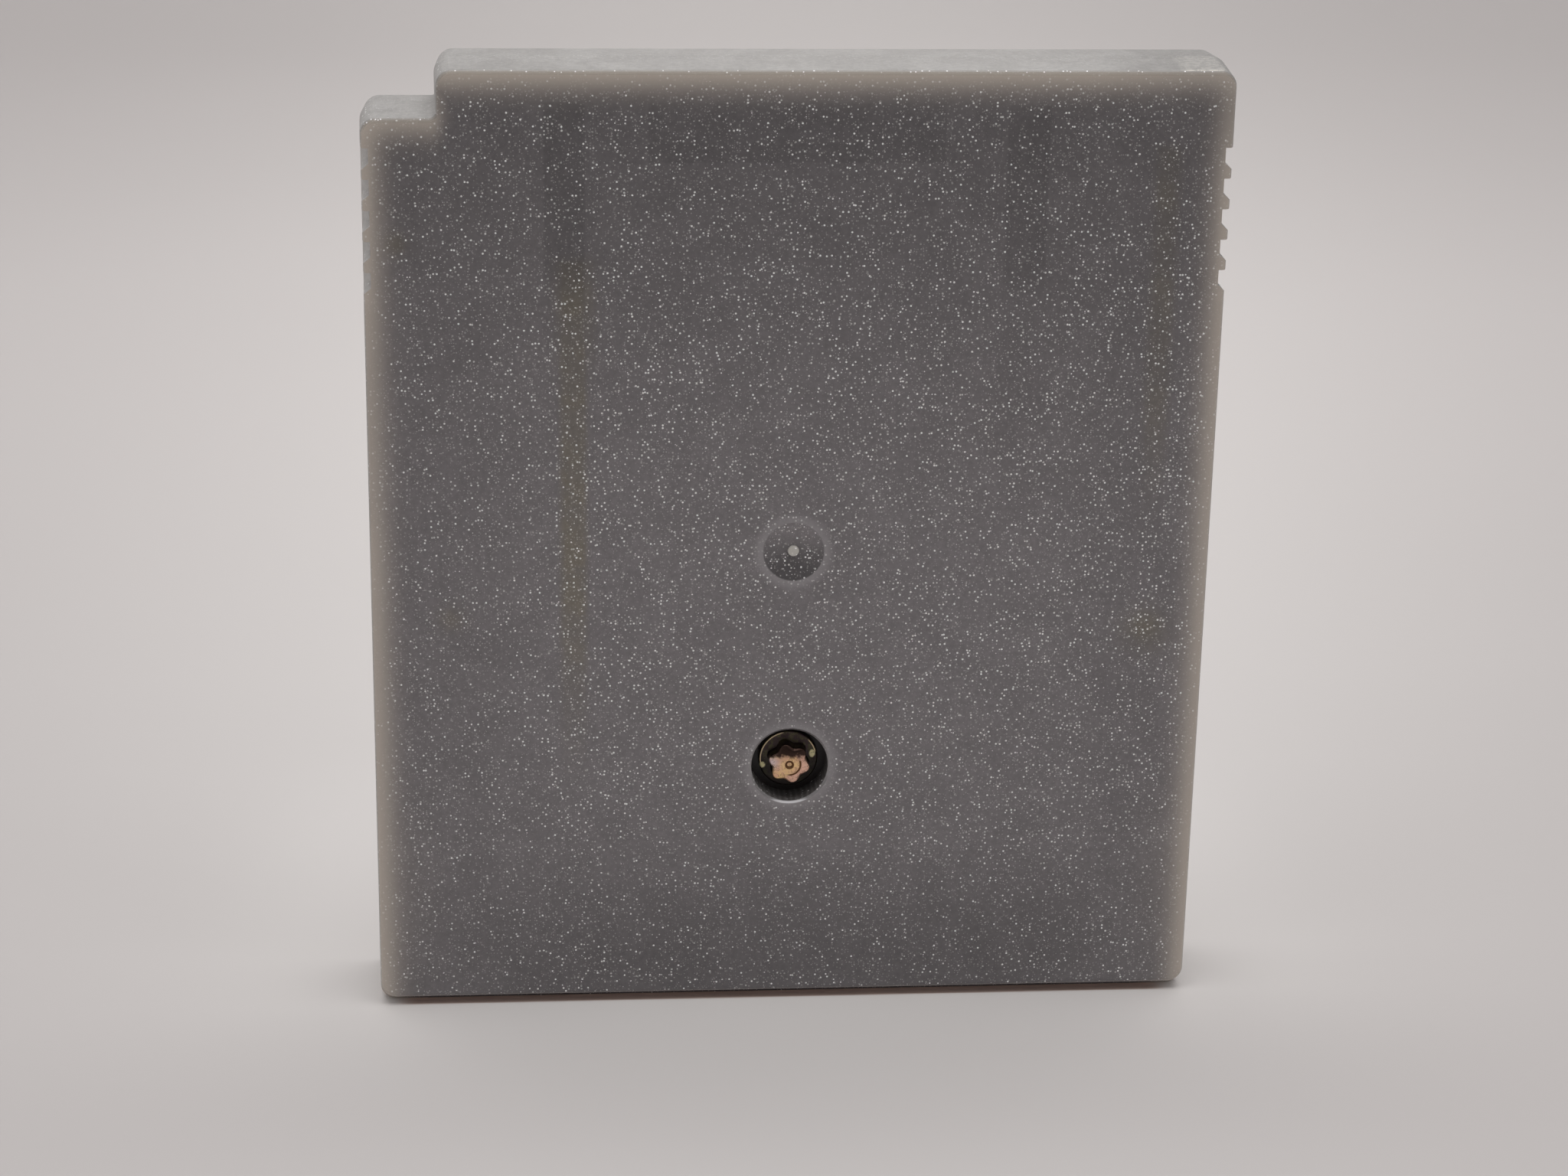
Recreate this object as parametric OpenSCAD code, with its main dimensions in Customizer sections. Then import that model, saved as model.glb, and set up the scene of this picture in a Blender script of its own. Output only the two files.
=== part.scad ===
// Game cartridge for a handheld console, in millimetres, standing on its connector edge.
// X is the width, Y runs from the back face (screw side) to the label face, and Z is up.
// The origin is at the middle of the bottom.

/* [Shell] */
// Overall width, at the parting line
body_w = 57; // [56:0.1:62]
// Overall height
body_h = 66.1; // [64:0.1:72]
// Overall thickness, from the back face to the label face
body_t = 7.7; // [7.5:0.1:9]
// Depth of the back half, from the back face to the parting line
back_depth = 4.3; // [4:0.1:4.6]
// Thickness of the back wall
back_wall = 1.2; // [1:0.05:1.3]
// Thickness of the label-side wall
front_wall = 1.15; // [1:0.05:1.25]
// Thickness of the side walls and the top wall
side_wall = 1.5; // [1.4:0.05:1.8]
// Radius of the outline's corners
corner_r = 1.1; // [0.8:0.1:1.4]
// Radius along the edges of both faces
edge_r = 0.3; // [0.2:0.05:0.4]
// How far each outer side leans in, from the parting line to a face
draft = 0.15; // [0.05:0.05:0.2]
// Height of the back wall's lower edge above the bottom
back_lift = 0.6; // [0:0.1:0.8]

/* [Corner notch] */
// Width of the notch
notch_w = 4.85; // [4:0.05:6]
// Height of the notch
notch_h = 3.1; // [2.5:0.1:3.5]
// Radius in the corner of the notch
notch_r = 0.4; // [0.2:0.1:0.6]

/* [Side grips] */
// Number of grooves in each grip
grip_count = 5; // [3:1:6]
// Height of one groove
grip_gap = 1.45; // [1:0.05:1.6]
// Height of the rib between two grooves
grip_rib = 0.6; // [0.4:0.05:0.8]
// Height of the slope that leads out of the lower side of each groove
grip_slope = 0.45; // [0.3:0.05:0.6]
// Depth of the grooves in the sides
grip_d = 0.5; // [0.3:0.05:0.6]
// Distance from the top of the shell to the highest groove
grip_drop = 5.2; // [4.5:0.1:8]

/* [Inside of the shell] */
// Thickness of the walls at the sides of the connector pocket
pocket_side = 2.65; // [2.2:0.05:3.1]
// Height of the connector pocket
pocket_h = 11.2; // [10:0.1:11.4]
// Thickness of the wall that closes the pocket
stop_t = 1; // [0.8:0.1:1.2]
// Radius of the corners of the room above the pocket
room_r = 0.8; // [0.5:0.1:1]
// Thickness of the lip that the label half pushes into the back half
lip_t = 0.6; // [0.5:0.05:0.7]
// Height of the lip
lip_h = 0.8; // [0.6:0.1:1]
// Clearance round the lip, the hooks and the ribs
fit_gap = 0.1; // [0.05:0.05:0.15]

/* [Snap hooks] */
// Distance of each hook from the middle
hook_x = 15.2; // [13:0.1:17]
// Width of a hook
hook_w = 2.6; // [2:0.1:3]
// Thickness of a hook's stem
hook_t = 1.2; // [1:0.1:1.4]
// Height of the barb above the stem
barb_h = 1.3; // [1:0.1:1.5]
// Thickness of the barb
barb_t = 1.1; // [0.9:0.1:1.2]
// Thickness of the lug behind which a barb catches
lug_t = 1; // [0.8:0.1:1.1]
// Height of the lug
lug_h = 2.6; // [2.4:0.1:3]
// Length of the slot that guides a barb
slot_l = 14; // [10:0.5:14]
// Depth of that slot in the back wall
slot_d = 0.4; // [0.3:0.05:0.45]
// Width of the thinned panel at the top of the back wall
panel_w = 20.4; // [16:0.1:24]
// Height of the thinned panel
panel_h = 3.6; // [3:0.1:4]
// Depth of the thinned panel
panel_d = 0.3; // [0.2:0.05:0.4]

/* [Screw and its seat] */
// Height of the screw's axis above the bottom
screw_z = 17.7; // [17:0.1:18.2]
// Diameter of the counterbore
bore_d = 5.3; // [5:0.1:5.6]
// Depth of the counterbore
bore_depth = 2; // [1.9:0.1:2.3]
// Chamfer round the mouth of the counterbore
bore_chamfer = 0.15; // [0.1:0.05:0.25]
// Wall round the counterbore, inside the shell
boss_wall = 1.05; // [0.9:0.05:1.2]
// Thickness of the floor that the screw's head rests on
boss_floor = 1; // [0.8:0.1:1.1]
// Diameter of the screw's flange
flange_d = 4.1; // [4:0.1:4.6]
// Thickness of the flange
flange_t = 0.6; // [0.5:0.1:0.8]
// Width across the lobes of the screw's head
star_d = 2.9; // [2.6:0.1:3.2]
// Height of the lobed head above the flange
star_h = 1.25; // [1:0.05:1.3]
// Diameter of the shank
shank_d = 2; // [1.8:0.1:2.2]
// Length of the shank below the flange
shank_l = 3.7; // [3.2:0.1:3.9]
// Clearance round the shank in the boss and in the post
shank_gap = 0.06; // [0.04:0.02:0.1]
// Diameter of the label half's screw post
post_d = 4.6; // [4.2:0.1:4.8]

/* [Gate mark] */
// Height of the gate mark's centre above the bottom
gate_z = 33.3; // [31:0.1:36]
// Diameter of the dished recess round the gate
gate_d = 4.15; // [3.5:0.05:4.5]
// Depth of the dish at its middle
gate_depth = 0.3; // [0.2:0.05:0.35]
// Diameter of the sprue's stub
stub_d = 0.75; // [0.5:0.05:1]

/* [Label face] */
// Width of the label recess
label_w = 42.5; // [40:0.5:44]
// Height of the label recess
label_h = 37.5; // [34:0.5:38]
// Height of the label recess above the bottom
label_z = 11; // [10:0.5:12]
// Depth of the recesses in the label face
label_d = 0.3; // [0.2:0.05:0.35]
// Width of the rounded recess above the label
pill_w = 41; // [36:0.5:42]
// Gap between that recess and the grip grooves beside it
pill_gap = 1.8; // [1.4:0.1:2.4]
// Width of the arrow
arrow_w = 6.4; // [5:0.1:8]
// Height of the arrow
arrow_h = 3.6; // [3:0.1:4]
// Height of the arrow's tip above the bottom
arrow_z = 3.6; // [3:0.1:4.5]

/* [Circuit board] */
// Clearance at each side of the board, in the connector pocket
board_side = 0.8; // [0.6:0.05:1]
// Distance from the top of the shell to the board's upper edge
board_drop = 9.1; // [8.7:0.1:10.5]
// Thickness of the board
board_t = 0.8; // [0.7:0.05:0.85]
// Height of the board's lower edge above the bottom
board_z = 1; // [0.6:0.1:1.2]
// Height of the ribs that the board lies on
rest_h = 0.3; // [0.25:0.05:0.4]
// Diameter of the two locating pins
pin_d = 1.8; // [1.6:0.1:2]
// Distance of each pin's axis from the side of the board
pin_inset = 2.6; // [2.4:0.1:3]
// Height of the pins above the bottom
pin_z = 13.6; // [13:0.1:14]
// Clearance round the post and the pins in the board
hole_gap = 0.15; // [0.1:0.05:0.25]
// Distance from pad to pad
pad_pitch = 1.5; // [1.4:0.05:1.6]
// Least distance from the side of the board to the outer pads' middle
pad_side = 1.75; // [1.5:0.05:2.2]
// Width of a pad
pad_w = 1; // [0.8:0.05:1.1]
// Length of a pad
pad_l = 7; // [6:0.1:7.4]
// Thickness of a pad
pad_t = 0.05; // [0.04:0.01:0.06]

/* [Components] */
// Thickness of the leads
lead_t = 0.15; // [0.12:0.01:0.2]
// Width of the leads
lead_w = 0.4; // [0.3:0.05:0.5]
// How far the leads reach out from a package
lead_reach = 1.45; // [1.2:0.05:1.5]
// Gap between a package and the board
standoff = 0.1; // [0.05:0.05:0.15]
// Diameter of the coin cell
cell_d = 20; // [16:1:20]
// Thickness of the coin cell
cell_t = 2.5; // [1.6:0.1:2.5]
// Thickness of the cell's tabs
tab_t = 0.15; // [0.1:0.05:0.2]
// Width of the cell's tabs
tab_w = 4; // [3:0.5:5]
// Diameter of the crystal's can
can_d = 2; // [1.5:0.1:2]
// Length of the crystal's can
can_l = 6.2; // [5:0.1:6.4]

/* [Hidden] */

$fn = 64;
shell_colour = [0.62, 0.61, 0.6];
steel_colour = [0.72, 0.72, 0.7];
tin_colour = [0.78, 0.78, 0.76];
chip_colour = [0.12, 0.12, 0.13];

// Reach of a cut past the surface that it opens
past = 1;
// Points along each rounded corner of the outline
corner_steps = 8;
// Points along the rounded edge of a face
edge_steps = 4;
// Slope of the step under the back wall's lower edge
step_slope = 0.05;

// Faces, from the back to the front
back_y = -body_t / 2;
front_y = body_t / 2;
part_y = back_y + back_depth;
back_in_y = back_y + back_wall;
front_in_y = front_y - front_wall;
board_front_y = front_in_y - rest_h;
board_back_y = board_front_y - board_t;
floor_y = back_y + bore_depth;
boss_end_y = floor_y + boss_floor;

// Connector pocket, and the room inside the shell
pocket_w = body_w - 2 * pocket_side;
room_w = body_w - 2 * side_wall;
room_top = body_h - side_wall;
rail_top = pocket_h + stop_t;
lip_low = rail_top + lip_t;
notch_in_x = -body_w / 2 + notch_w + side_wall;
notch_in_z = body_h - notch_h - side_wall;

// Side grips, from the highest groove down
grip_pitch = grip_gap + grip_rib;
grip_top = body_h - grip_drop;
grip_rest = 0.65;
grip_tip_r = 0.12;
grip_full_y = part_y - lip_h - fit_gap - 2 * grip_rest;
grip_end_y = part_y - grip_rest;

// Hooks: the stem passes under the lug, and the barb stands behind it
stem_top = room_top - lug_h - fit_gap;
barb_y0 = back_in_y - slot_d / 2;
barb_y1 = barb_y0 + barb_t;
lug_y0 = barb_y1 + fit_gap;
lug_margin = 0.4;
panel_margin = 0.5;

// Board: its size and edges
board_w = pocket_w - 2 * board_side;
board_top = body_h - board_drop;
board_h = board_top - board_z;
board_left = -board_w / 2;
board_right = board_w / 2;
board_bevel = 0.6;
pin_x = board_right - pin_inset;
pin_reach = 0.5;
pad_count = floor((board_w - 2 * pad_side) / pad_pitch) + 1;

// Ribs of the back half that hold the board down
hold_t = 1.2;
hold_l = 5;
hold_inset = 0.4;
hold_low = 21;
hold_drop = 13;
hold_zs = [board_z + hold_low, board_top - hold_drop];

// Ribs of the label half that the board lies on
rest_t = 1;
rest_step = board_w / 5;
rest_xs = [-2 * rest_step, -rest_step, rest_step, 2 * rest_step];
rest_margin = 1.2;

// Screw, and the end of its hole in the post
post_end = 0.2;
star_lobe_r = 0.42;
star_core_r = 1.15;
star_lobes = 6;
lobe_turn = -16;
flange_bevel = 0.12;
tip_l = 0.5;
tip_bevel = 0.3;
dimple_d = 0.45;
dimple_h = 0.15;

// Gate mark
gate_sphere_r = (pow(gate_d / 2, 2) + pow(gate_depth, 2)) / (2 * gate_depth);
stub_h = 0.12;
gate_pad_rim = 0.75;
gate_pad_d = gate_d + 2 * gate_pad_rim;
gate_pad_h = 0.4;

// Label face
label_r = 1.5;
pill_inset = 0.5;

// Package sizes: width, height and thickness
rom_size = [20.6, 11.2, 2.6];
ram_size = [18.1, 8.4, 2.3];
mapper_size = [7, 7, 1.4];
supervisor_size = [5, 4.4, 1.7];
diode_size = [2.9, 1.3, 1];
// Number of leads on one side of each package, and the distances from lead to lead
rom_pins = 16;
ram_pins = 14;
mapper_pins = 8;
supervisor_pins = 4;
lead_pitch = 1.27;
fine_pitch = 0.8;
diode_pitch = 1.9;
// Slope of a package's sides, and the size of its corner mark
package_taper = 0.12;
mark_d = 0.9;
mark_depth = 0.1;
mark_inset = 1.1;
// Length of a lead before its bend
lead_knee = 0.45;
lead_drop = 0.25;
// Small leads of the diode
diode_lead_reach = 0.8;

// Distance of each package's middle from the nearer side of the board, and from its top or bottom
ram_inset = [12.8, 9.8];
supervisor_inset = [7.7, 15.5];
cell_inset = [12, 13.5];
mapper_inset = [12.7, 31.8];
can_inset = [5.6, 13.4];
rom_inset = 13.6;
rom_rise = 1;
diode_x = 4.6;
// Places of the packages, as X and Z
ram_at = [board_left + ram_inset.x, board_top - ram_inset.y];
rom_at = [board_left + rom_inset, (board_z + board_top) / 2 + rom_rise];
supervisor_at = [board_left + supervisor_inset.x, board_z + supervisor_inset.y];
cell_at = [board_right - cell_inset.x, board_top - cell_inset.y];
mapper_at = [board_right - mapper_inset.x, board_top - mapper_inset.y];
can_at = [board_right - can_inset.x, board_z + can_inset.y];
diode_at = [diode_x, screw_z];

// Columns of the small parts: between the packages, at the board's side, beside the post and beside the ROM
between_shift = 2.7;
rim_inset = 4.6;
between_x = (rom_at.x + mapper_at.x) / 2 + between_shift;
rim_x = board_right - rim_inset;
post_xs = [-9.2, -5.4];
rom_side = 12.3;
// Height of each small part above the mapper, the screw's axis or the ROM's middle
capacitor_rise = [1.4, 3.6, -3, -3.8, 3];
resistor_rise = [1.2, -0.9, 1.2, 6.4, 4.4];
capacitor_at = [
    [between_x, mapper_at.y + capacitor_rise[0]], [rim_x, mapper_at.y + capacitor_rise[1]],
    [post_xs[0], screw_z + capacitor_rise[2]], [post_xs[1], screw_z + capacitor_rise[3]],
    [rom_at.x + rom_side, rom_at.y + capacitor_rise[4]]
];
resistor_at = [
    [post_xs[0], screw_z + resistor_rise[0]], [post_xs[0], screw_z + resistor_rise[1]],
    [post_xs[1], screw_z + resistor_rise[2]], [rim_x, mapper_at.y + resistor_rise[3]],
    [between_x, mapper_at.y + resistor_rise[4]]
];
// Length, width and height of the small parts, and the length of their end caps
capacitor_size = [2, 1.25, 0.85];
resistor_size = [2, 1.25, 0.5];
cap_l = 0.4;

// Cell, its rim and its tabs: the rim slopes up over its run to a share of its height, and ends in a land
rim_w = 1.4;
rim_h = 0.45;
rim_run = 0.3;
rim_share = 0.6;
rim_land = 0.5;
cell_round = 0.2;
tab_gap = 0.6;
foot_l = 1.6;
tab_overlap = 3;
tab_below = 2.4;

// Crystal
can_gap = 0.05;
can_round = 0.2;
wire_w = 0.3;
wire_spacing = 0.7;
wire_l = 1.1;

// Points of an arc, from angle a0 to angle a1
function arc(centre, r, a0, a1, steps) = [
    for (i = [0:steps])
        centre + r * [cos(a0 + (a1 - a0) * i / steps), sin(a0 + (a1 - a0) * i / steps)]
];

// Outline of the cartridge as X and Z, drawn in by the draft and the edge's rounding, from level low up
function outline(lean, rounding, low) =
    let (half = body_w / 2 - lean, top = body_h - lean, r = corner_r - rounding)
    concat(
        arc([-half + corner_r, low + corner_r], r, 180, 270, corner_steps),
        arc([half - corner_r, low + corner_r], r, 270, 360, corner_steps),
        arc([half - corner_r, top - corner_r], r, 0, 90, corner_steps),
        arc([-half + notch_w + corner_r, top - corner_r], r, 90, 180, corner_steps),
        arc([-half + notch_w - notch_r, top - notch_h + notch_r], notch_r + rounding, 0, -90, corner_steps),
        arc([-half + corner_r, top - notch_h - corner_r], r, 90, 180, corner_steps)
    );

// The outline at depth y, where away is the distance from the face and depth that of the half
function ring(y, away, depth, rounding, low) = [
    for (p = outline(draft * (1 - away / depth), rounding, low)) [p.x, y, p.y]
];

// Distances from a face and roundings along its rounded edge
function edge_away(i) = edge_r * (1 - cos(90 * i / edge_steps));
function edge_rounding(i) = edge_r * (1 - sin(90 * i / edge_steps));

// Closed skin through rings of equal length, from the lowest Y to the highest, each end closed by a fan
module skin(rings) {
    n = len(rings[0]);
    last = (len(rings) - 1) * n;
    hub = len(rings) * n;
    polyhedron(
        points = concat(
            [for (r = rings) each r],
            [for (r = [rings[0], rings[len(rings) - 1]]) [0, r[0].y, body_h / 2]]
        ),
        faces = [
            for (j = [0:n - 1])
                let (k = (j + 1) % n)
                each concat(
                    [[k, j, hub], [last + j, last + k, hub + 1]],
                    [for (a = [0:n:last - n]) each [[a + j, a + k, a + k + n], [a + j, a + k + n, a + j + n]]]
                )
        ]
    );
}

// A flat shape in X and Z, made solid from depth y0 to depth y1
module along_y(y0, y1) {
    translate([0, y1, 0]) rotate([90, 0, 0]) linear_extrude(y1 - y0) children();
}

// A shape drawn as Z and height above the board, made solid from x0 over the given width
module on_board(x0, width) {
    translate([x0, board_back_y, 0]) rotate(180, [1, 0, 1]) linear_extrude(width) children();
}

// A box on the board round the place at, with the given size along X, Z and away from the board
module board_box(at, size) {
    translate([at.x - size.x / 2, board_back_y - size.z, at.y - size.y / 2]) cube([size.x, size.z, size.y]);
}

// A round bar along Y, centred on X and the height z
module bar_y(d, y0, y1, x, z) {
    translate([x, y1, z]) rotate([90, 0, 0]) cylinder(d = d, h = y1 - y0);
}

module rounded_rect(x0, z0, x1, z1, r) {
    translate([x0 + r, z0]) square([x1 - x0 - 2 * r, z1 - z0]);
    translate([x0, z0 + r]) square([x1 - x0, z1 - z0 - 2 * r]);
    for (x = [x0 + r, x1 - r], z = [z0 + r, z1 - r]) translate([x, z]) circle(r = r);
}

// Outline of the room above the connector pocket, grown outwards, from level low up
module room_shape(grow, low) {
    difference() {
        rounded_rect(-room_w / 2 - grow, low, room_w / 2 + grow, room_top + grow, room_r);
        translate([-body_w / 2 - past, notch_in_z + grow])
            square([notch_in_x - grow + body_w / 2 + past, body_h]);
    }
}

// Outline of the connector pocket, open at the bottom
module pocket_shape(top) {
    translate([-pocket_w / 2, -past]) square([pocket_w, top + past]);
}

// One rib of the side grips in profile, its flat at the side's line and its upper flank sloped
module grip_rib_profile(side_x) {
    foot_x = side_x - grip_d;
    offset(r = grip_tip_r) offset(delta = -grip_tip_r) polygon([
        [foot_x - grip_d, 0], [side_x, 0], [side_x, grip_rib],
        [foot_x, grip_rib + grip_slope], [foot_x - grip_d, grip_rib + grip_slope]
    ]);
}

// One groove set of the side grips, cut in from the side at +X, full depth at the back and run out at its end
module grip_cut() {
    side_x = body_w / 2 - draft;
    floor_x = side_x - grip_d;
    low_z = grip_top - grip_count * grip_pitch;
    intersection() {
        along_y(back_y - past, grip_end_y) difference() {
            translate([floor_x, low_z + grip_rib / 2]) square([grip_d + past, grip_count * grip_pitch]);
            for (i = [0:grip_count]) translate([0, grip_top - i * grip_pitch]) grip_rib_profile(side_x);
        }
        translate([0, 0, low_z]) linear_extrude(grip_top - low_z + grip_rib) polygon([
            [floor_x, back_y - 2 * past], [floor_x, grip_full_y], [side_x + draft, grip_end_y],
            [side_x + 2 * past, grip_end_y], [side_x + 2 * past, back_y - 2 * past]
        ]);
    }
}

// The back half's walls, hollowed out and rebated for the lip
module back_tray() {
    difference() {
        skin(concat(
            [
                for (i = [0:edge_steps])
                    ring(back_y + edge_away(i), edge_away(i), back_depth, edge_rounding(i), back_lift)
            ],
            [
                ring(back_in_y - step_slope, back_wall - step_slope, back_depth, 0, back_lift),
                ring(back_in_y, back_wall, back_depth, 0, 0),
                ring(part_y, back_depth, back_depth, 0, 0)
            ]
        ));
        union() {
            along_y(back_in_y, part_y + past) {
                room_shape(0, rail_top);
                pocket_shape(pocket_h);
            }
            along_y(part_y - lip_h - fit_gap, part_y + past)
                room_shape(lip_t + fit_gap, lip_low - fit_gap);
        }
    }
}

module back_shell() {
    boss_d = bore_d + 2 * boss_wall;
    color(shell_colour) difference() {
        union() {
            difference() {
                back_tray();
                grip_cut();
                mirror([1, 0, 0]) grip_cut();
                hook_slots();
            }
            stop_wall();
            bar_y(boss_d, back_in_y - back_wall / 2, boss_end_y, 0, screw_z);
            bar_y(gate_pad_d, back_in_y - back_wall / 2, back_in_y + gate_pad_h, 0, gate_z);
            hook_lugs();
            hold_ribs();
        }
        bar_y(bore_d, back_y - past, floor_y, 0, screw_z);
        translate([0, back_y, screw_z]) rotate([-90, 0, 0])
            cylinder(d1 = bore_d + 2 * bore_chamfer, d2 = bore_d, h = bore_chamfer);
        bar_y(shank_d + 2 * shank_gap, floor_y - past, boss_end_y + past, 0, screw_z);
        difference() {
            translate([0, back_y + gate_depth - gate_sphere_r, gate_z]) sphere(r = gate_sphere_r, $fn = 128);
            bar_y(stub_d, back_y + gate_depth - stub_h, back_in_y, 0, gate_z);
        }
    }
}

// Wall that closes the top of the connector pocket and stops just short of the board
module stop_wall() {
    wall_y0 = back_in_y - back_wall / 2;
    translate([-pocket_w / 2, wall_y0, pocket_h]) cube([pocket_w, part_y - wall_y0, stop_t]);
    translate([-pocket_w / 2 + fit_gap, wall_y0, pocket_h])
        cube([pocket_w - 2 * fit_gap, board_back_y - fit_gap - wall_y0, stop_t]);
}

// Slots that guide the barbs, and the thinned panel between them
module hook_slots() {
    slot_w = hook_w + 4 * fit_gap;
    for (side = [-1, 1]) translate([side * hook_x - slot_w / 2, back_in_y - slot_d, room_top - slot_l])
        cube([slot_w, slot_d + past, slot_l]);
    translate([-panel_w / 2, back_in_y - panel_d, room_top - panel_h - panel_margin])
        cube([panel_w, panel_d + past, panel_h]);
}

// Lugs under the top wall, in front of the barbs
module hook_lugs() {
    lug_w = hook_w + 2 * lug_margin;
    for (side = [-1, 1]) translate([side * hook_x - lug_w / 2, lug_y0, room_top - lug_h])
        cube([lug_w, lug_t, lug_h + side_wall / 2]);
}

module hold_ribs() {
    rib_y0 = back_in_y - back_wall / 2;
    for (side = [-1, 1], z = hold_zs)
        translate([side * (board_w / 2 - hold_inset - hold_t / 2) - hold_t / 2, rib_y0, z])
            cube([hold_t, board_back_y - fit_gap - rib_y0, hold_l]);
}

module front_shell() {
    front_depth = body_t - back_depth;
    color(shell_colour) difference() {
        union() {
            difference() {
                skin(concat(
                    [ring(part_y, front_depth, front_depth, 0, 0)],
                    [
                        for (i = [edge_steps:-1:0])
                            ring(front_y - edge_away(i), edge_away(i), front_depth, edge_rounding(i), 0)
                    ]
                ));
                along_y(part_y - past, front_in_y) {
                    room_shape(0, rail_top);
                    pocket_shape(rail_top + room_r);
                }
                face_recesses();
            }
            along_y(part_y - lip_h, part_y + lip_h) difference() {
                room_shape(lip_t, lip_low);
                room_shape(0, rail_top);
            }
            board_rests();
            bar_y(post_d, boss_end_y, front_in_y + front_wall / 2, 0, screw_z);
            for (side = [-1, 1])
                bar_y(pin_d, board_back_y - pin_reach, front_in_y + front_wall / 2, side * pin_x, pin_z);
            hooks();
        }
        bar_y(shank_d + 2 * shank_gap, boss_end_y - past, floor_y + shank_l + post_end, 0, screw_z);
    }
}

// Recesses in the label face: the label's place, the rounded one above it, the arrow and the grips
module face_recesses() {
    pill_h = grip_count * grip_gap + (grip_count - 1) * grip_rib - 2 * pill_inset;
    pill_r = pill_h / 2;
    pill_z = grip_top - (grip_count * grip_pitch - grip_rib) / 2;
    groove_x = pill_w / 2 + pill_gap;
    along_y(front_y - label_d, front_y + past) {
        rounded_rect(-label_w / 2, label_z, label_w / 2, label_z + label_h, label_r);
        translate([-pill_w / 2 + pill_r, pill_z - pill_r]) square([pill_w - pill_h, pill_h]);
        for (side = [-1, 1]) translate([side * (pill_w / 2 - pill_r), pill_z]) circle(r = pill_r);
        translate([0, arrow_z]) polygon([[0, 0], [arrow_w / 2, arrow_h], [-arrow_w / 2, arrow_h]]);
        for (side = [-1, 1], i = [0:grip_count - 1])
            translate([side * (groove_x + body_w / 2) - body_w / 2, grip_top - grip_gap - i * grip_pitch])
                square([body_w, grip_gap]);
    }
}

// Ribs on the inside of the label wall, clear of the pins and the post
module board_rests() {
    for (x = rest_xs)
        translate([x - rest_t / 2, board_front_y, board_z + rest_margin])
            cube([rest_t, rest_h + front_wall / 2, board_h - 2 * rest_margin]);
}

// Hooks that reach from the label wall to behind the lugs of the back half
module hooks() {
    root_y = front_in_y + front_wall / 2;
    for (side = [-1, 1]) translate([side * hook_x - hook_w / 2, 0, stem_top - hook_t]) {
        translate([0, barb_y0, 0]) cube([hook_w, root_y - barb_y0, hook_t]);
        translate([0, barb_y0, 0]) cube([hook_w, barb_t, hook_t + barb_h]);
    }
}

module security_screw() {
    star_r = star_d / 2;
    color([0.62, 0.52, 0.36]) translate([0, floor_y, screw_z]) rotate([90, 0, 0]) {
        rotate_extrude() polygon([
            [0, -shank_l], [shank_d / 2 - tip_bevel, -shank_l], [shank_d / 2, tip_l - shank_l], [shank_d / 2, 0],
            [flange_d / 2, 0], [flange_d / 2, flange_t - flange_bevel],
            [flange_d / 2 - flange_bevel, flange_t], [0, flange_t]
        ]);
        difference() {
            linear_extrude(flange_t + star_h) {
                circle(r = star_core_r);
                for (i = [0:star_lobes - 1]) rotate(i * 360 / star_lobes + lobe_turn)
                    translate([star_r - star_lobe_r, 0]) circle(r = star_lobe_r, $fn = 24);
            }
            translate([0, 0, flange_t + star_h - dimple_h]) cylinder(d = dimple_d, h = past, $fn = 24);
        }
    }
}

module circuit_board() {
    color([0.1, 0.36, 0.22]) difference() {
        along_y(board_back_y, board_front_y) polygon([
            [board_left + board_bevel, board_z], [board_right - board_bevel, board_z],
            [board_right, board_z + board_bevel], [board_right, board_top],
            [board_left, board_top], [board_left, board_z + board_bevel]
        ]);
        bar_y(post_d + 2 * hole_gap, board_back_y - past, board_front_y + past, 0, screw_z);
        for (side = [-1, 1])
            bar_y(pin_d + 2 * hole_gap, board_back_y - past, board_front_y + past, side * pin_x, pin_z);
    }
}

module edge_contacts() {
    pad_low = board_z + board_bevel;
    color([0.85, 0.68, 0.3]) for (i = [0:pad_count - 1])
        board_box([(i - (pad_count - 1) / 2) * pad_pitch, pad_low + pad_l / 2], [pad_w, pad_l, pad_t]);
}

// A moulded package with sloping long sides and a round mark in one corner
module package(at, size) {
    half = size.y / 2;
    mid = standoff + size.z / 2;
    color(chip_colour) difference() {
        on_board(at.x - size.x / 2, size.x) translate([at.y, 0]) polygon([
            [-half + package_taper, standoff], [half - package_taper, standoff],
            [half, mid - lead_t], [half, mid + lead_t],
            [half - package_taper, standoff + size.z], [-half + package_taper, standoff + size.z],
            [-half, mid + lead_t], [-half, mid - lead_t]
        ]);
        bar_y(
            mark_d, board_back_y - standoff - size.z - past, board_back_y - standoff - size.z + mark_depth,
            at.x - size.x / 2 + mark_inset, at.y - half + mark_inset
        );
    }
}

// A row of bent leads along the side of a package that faces up, before it is turned
module lead_row(size, count, pitch, reach) {
    side = size.y / 2;
    mid = standoff + size.z / 2;
    for (i = [0:count - 1]) on_board((i - (count - 1) / 2) * pitch - lead_w / 2, lead_w) polygon([
        [side, mid + lead_t / 2], [side + lead_knee, mid + lead_t / 2],
        [side + lead_knee + lead_drop, lead_t], [side + reach, lead_t],
        [side + reach, 0], [side + lead_knee + lead_drop - lead_t, 0],
        [side + lead_knee - lead_t, mid - lead_t / 2], [side, mid - lead_t / 2]
    ]);
}

// Rows of leads turned to the given sides of a package
module leads(at, size, count, pitch, turns, reach) {
    color(tin_colour) for (turn = turns)
        translate([at.x, 0, at.y]) rotate([0, turn, 0]) lead_row(size, count, pitch, reach);
}

module rom_chip() {
    package(rom_at, rom_size);
}

module rom_leads() {
    leads(rom_at, rom_size, rom_pins, lead_pitch, [0, 180], lead_reach);
}

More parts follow.
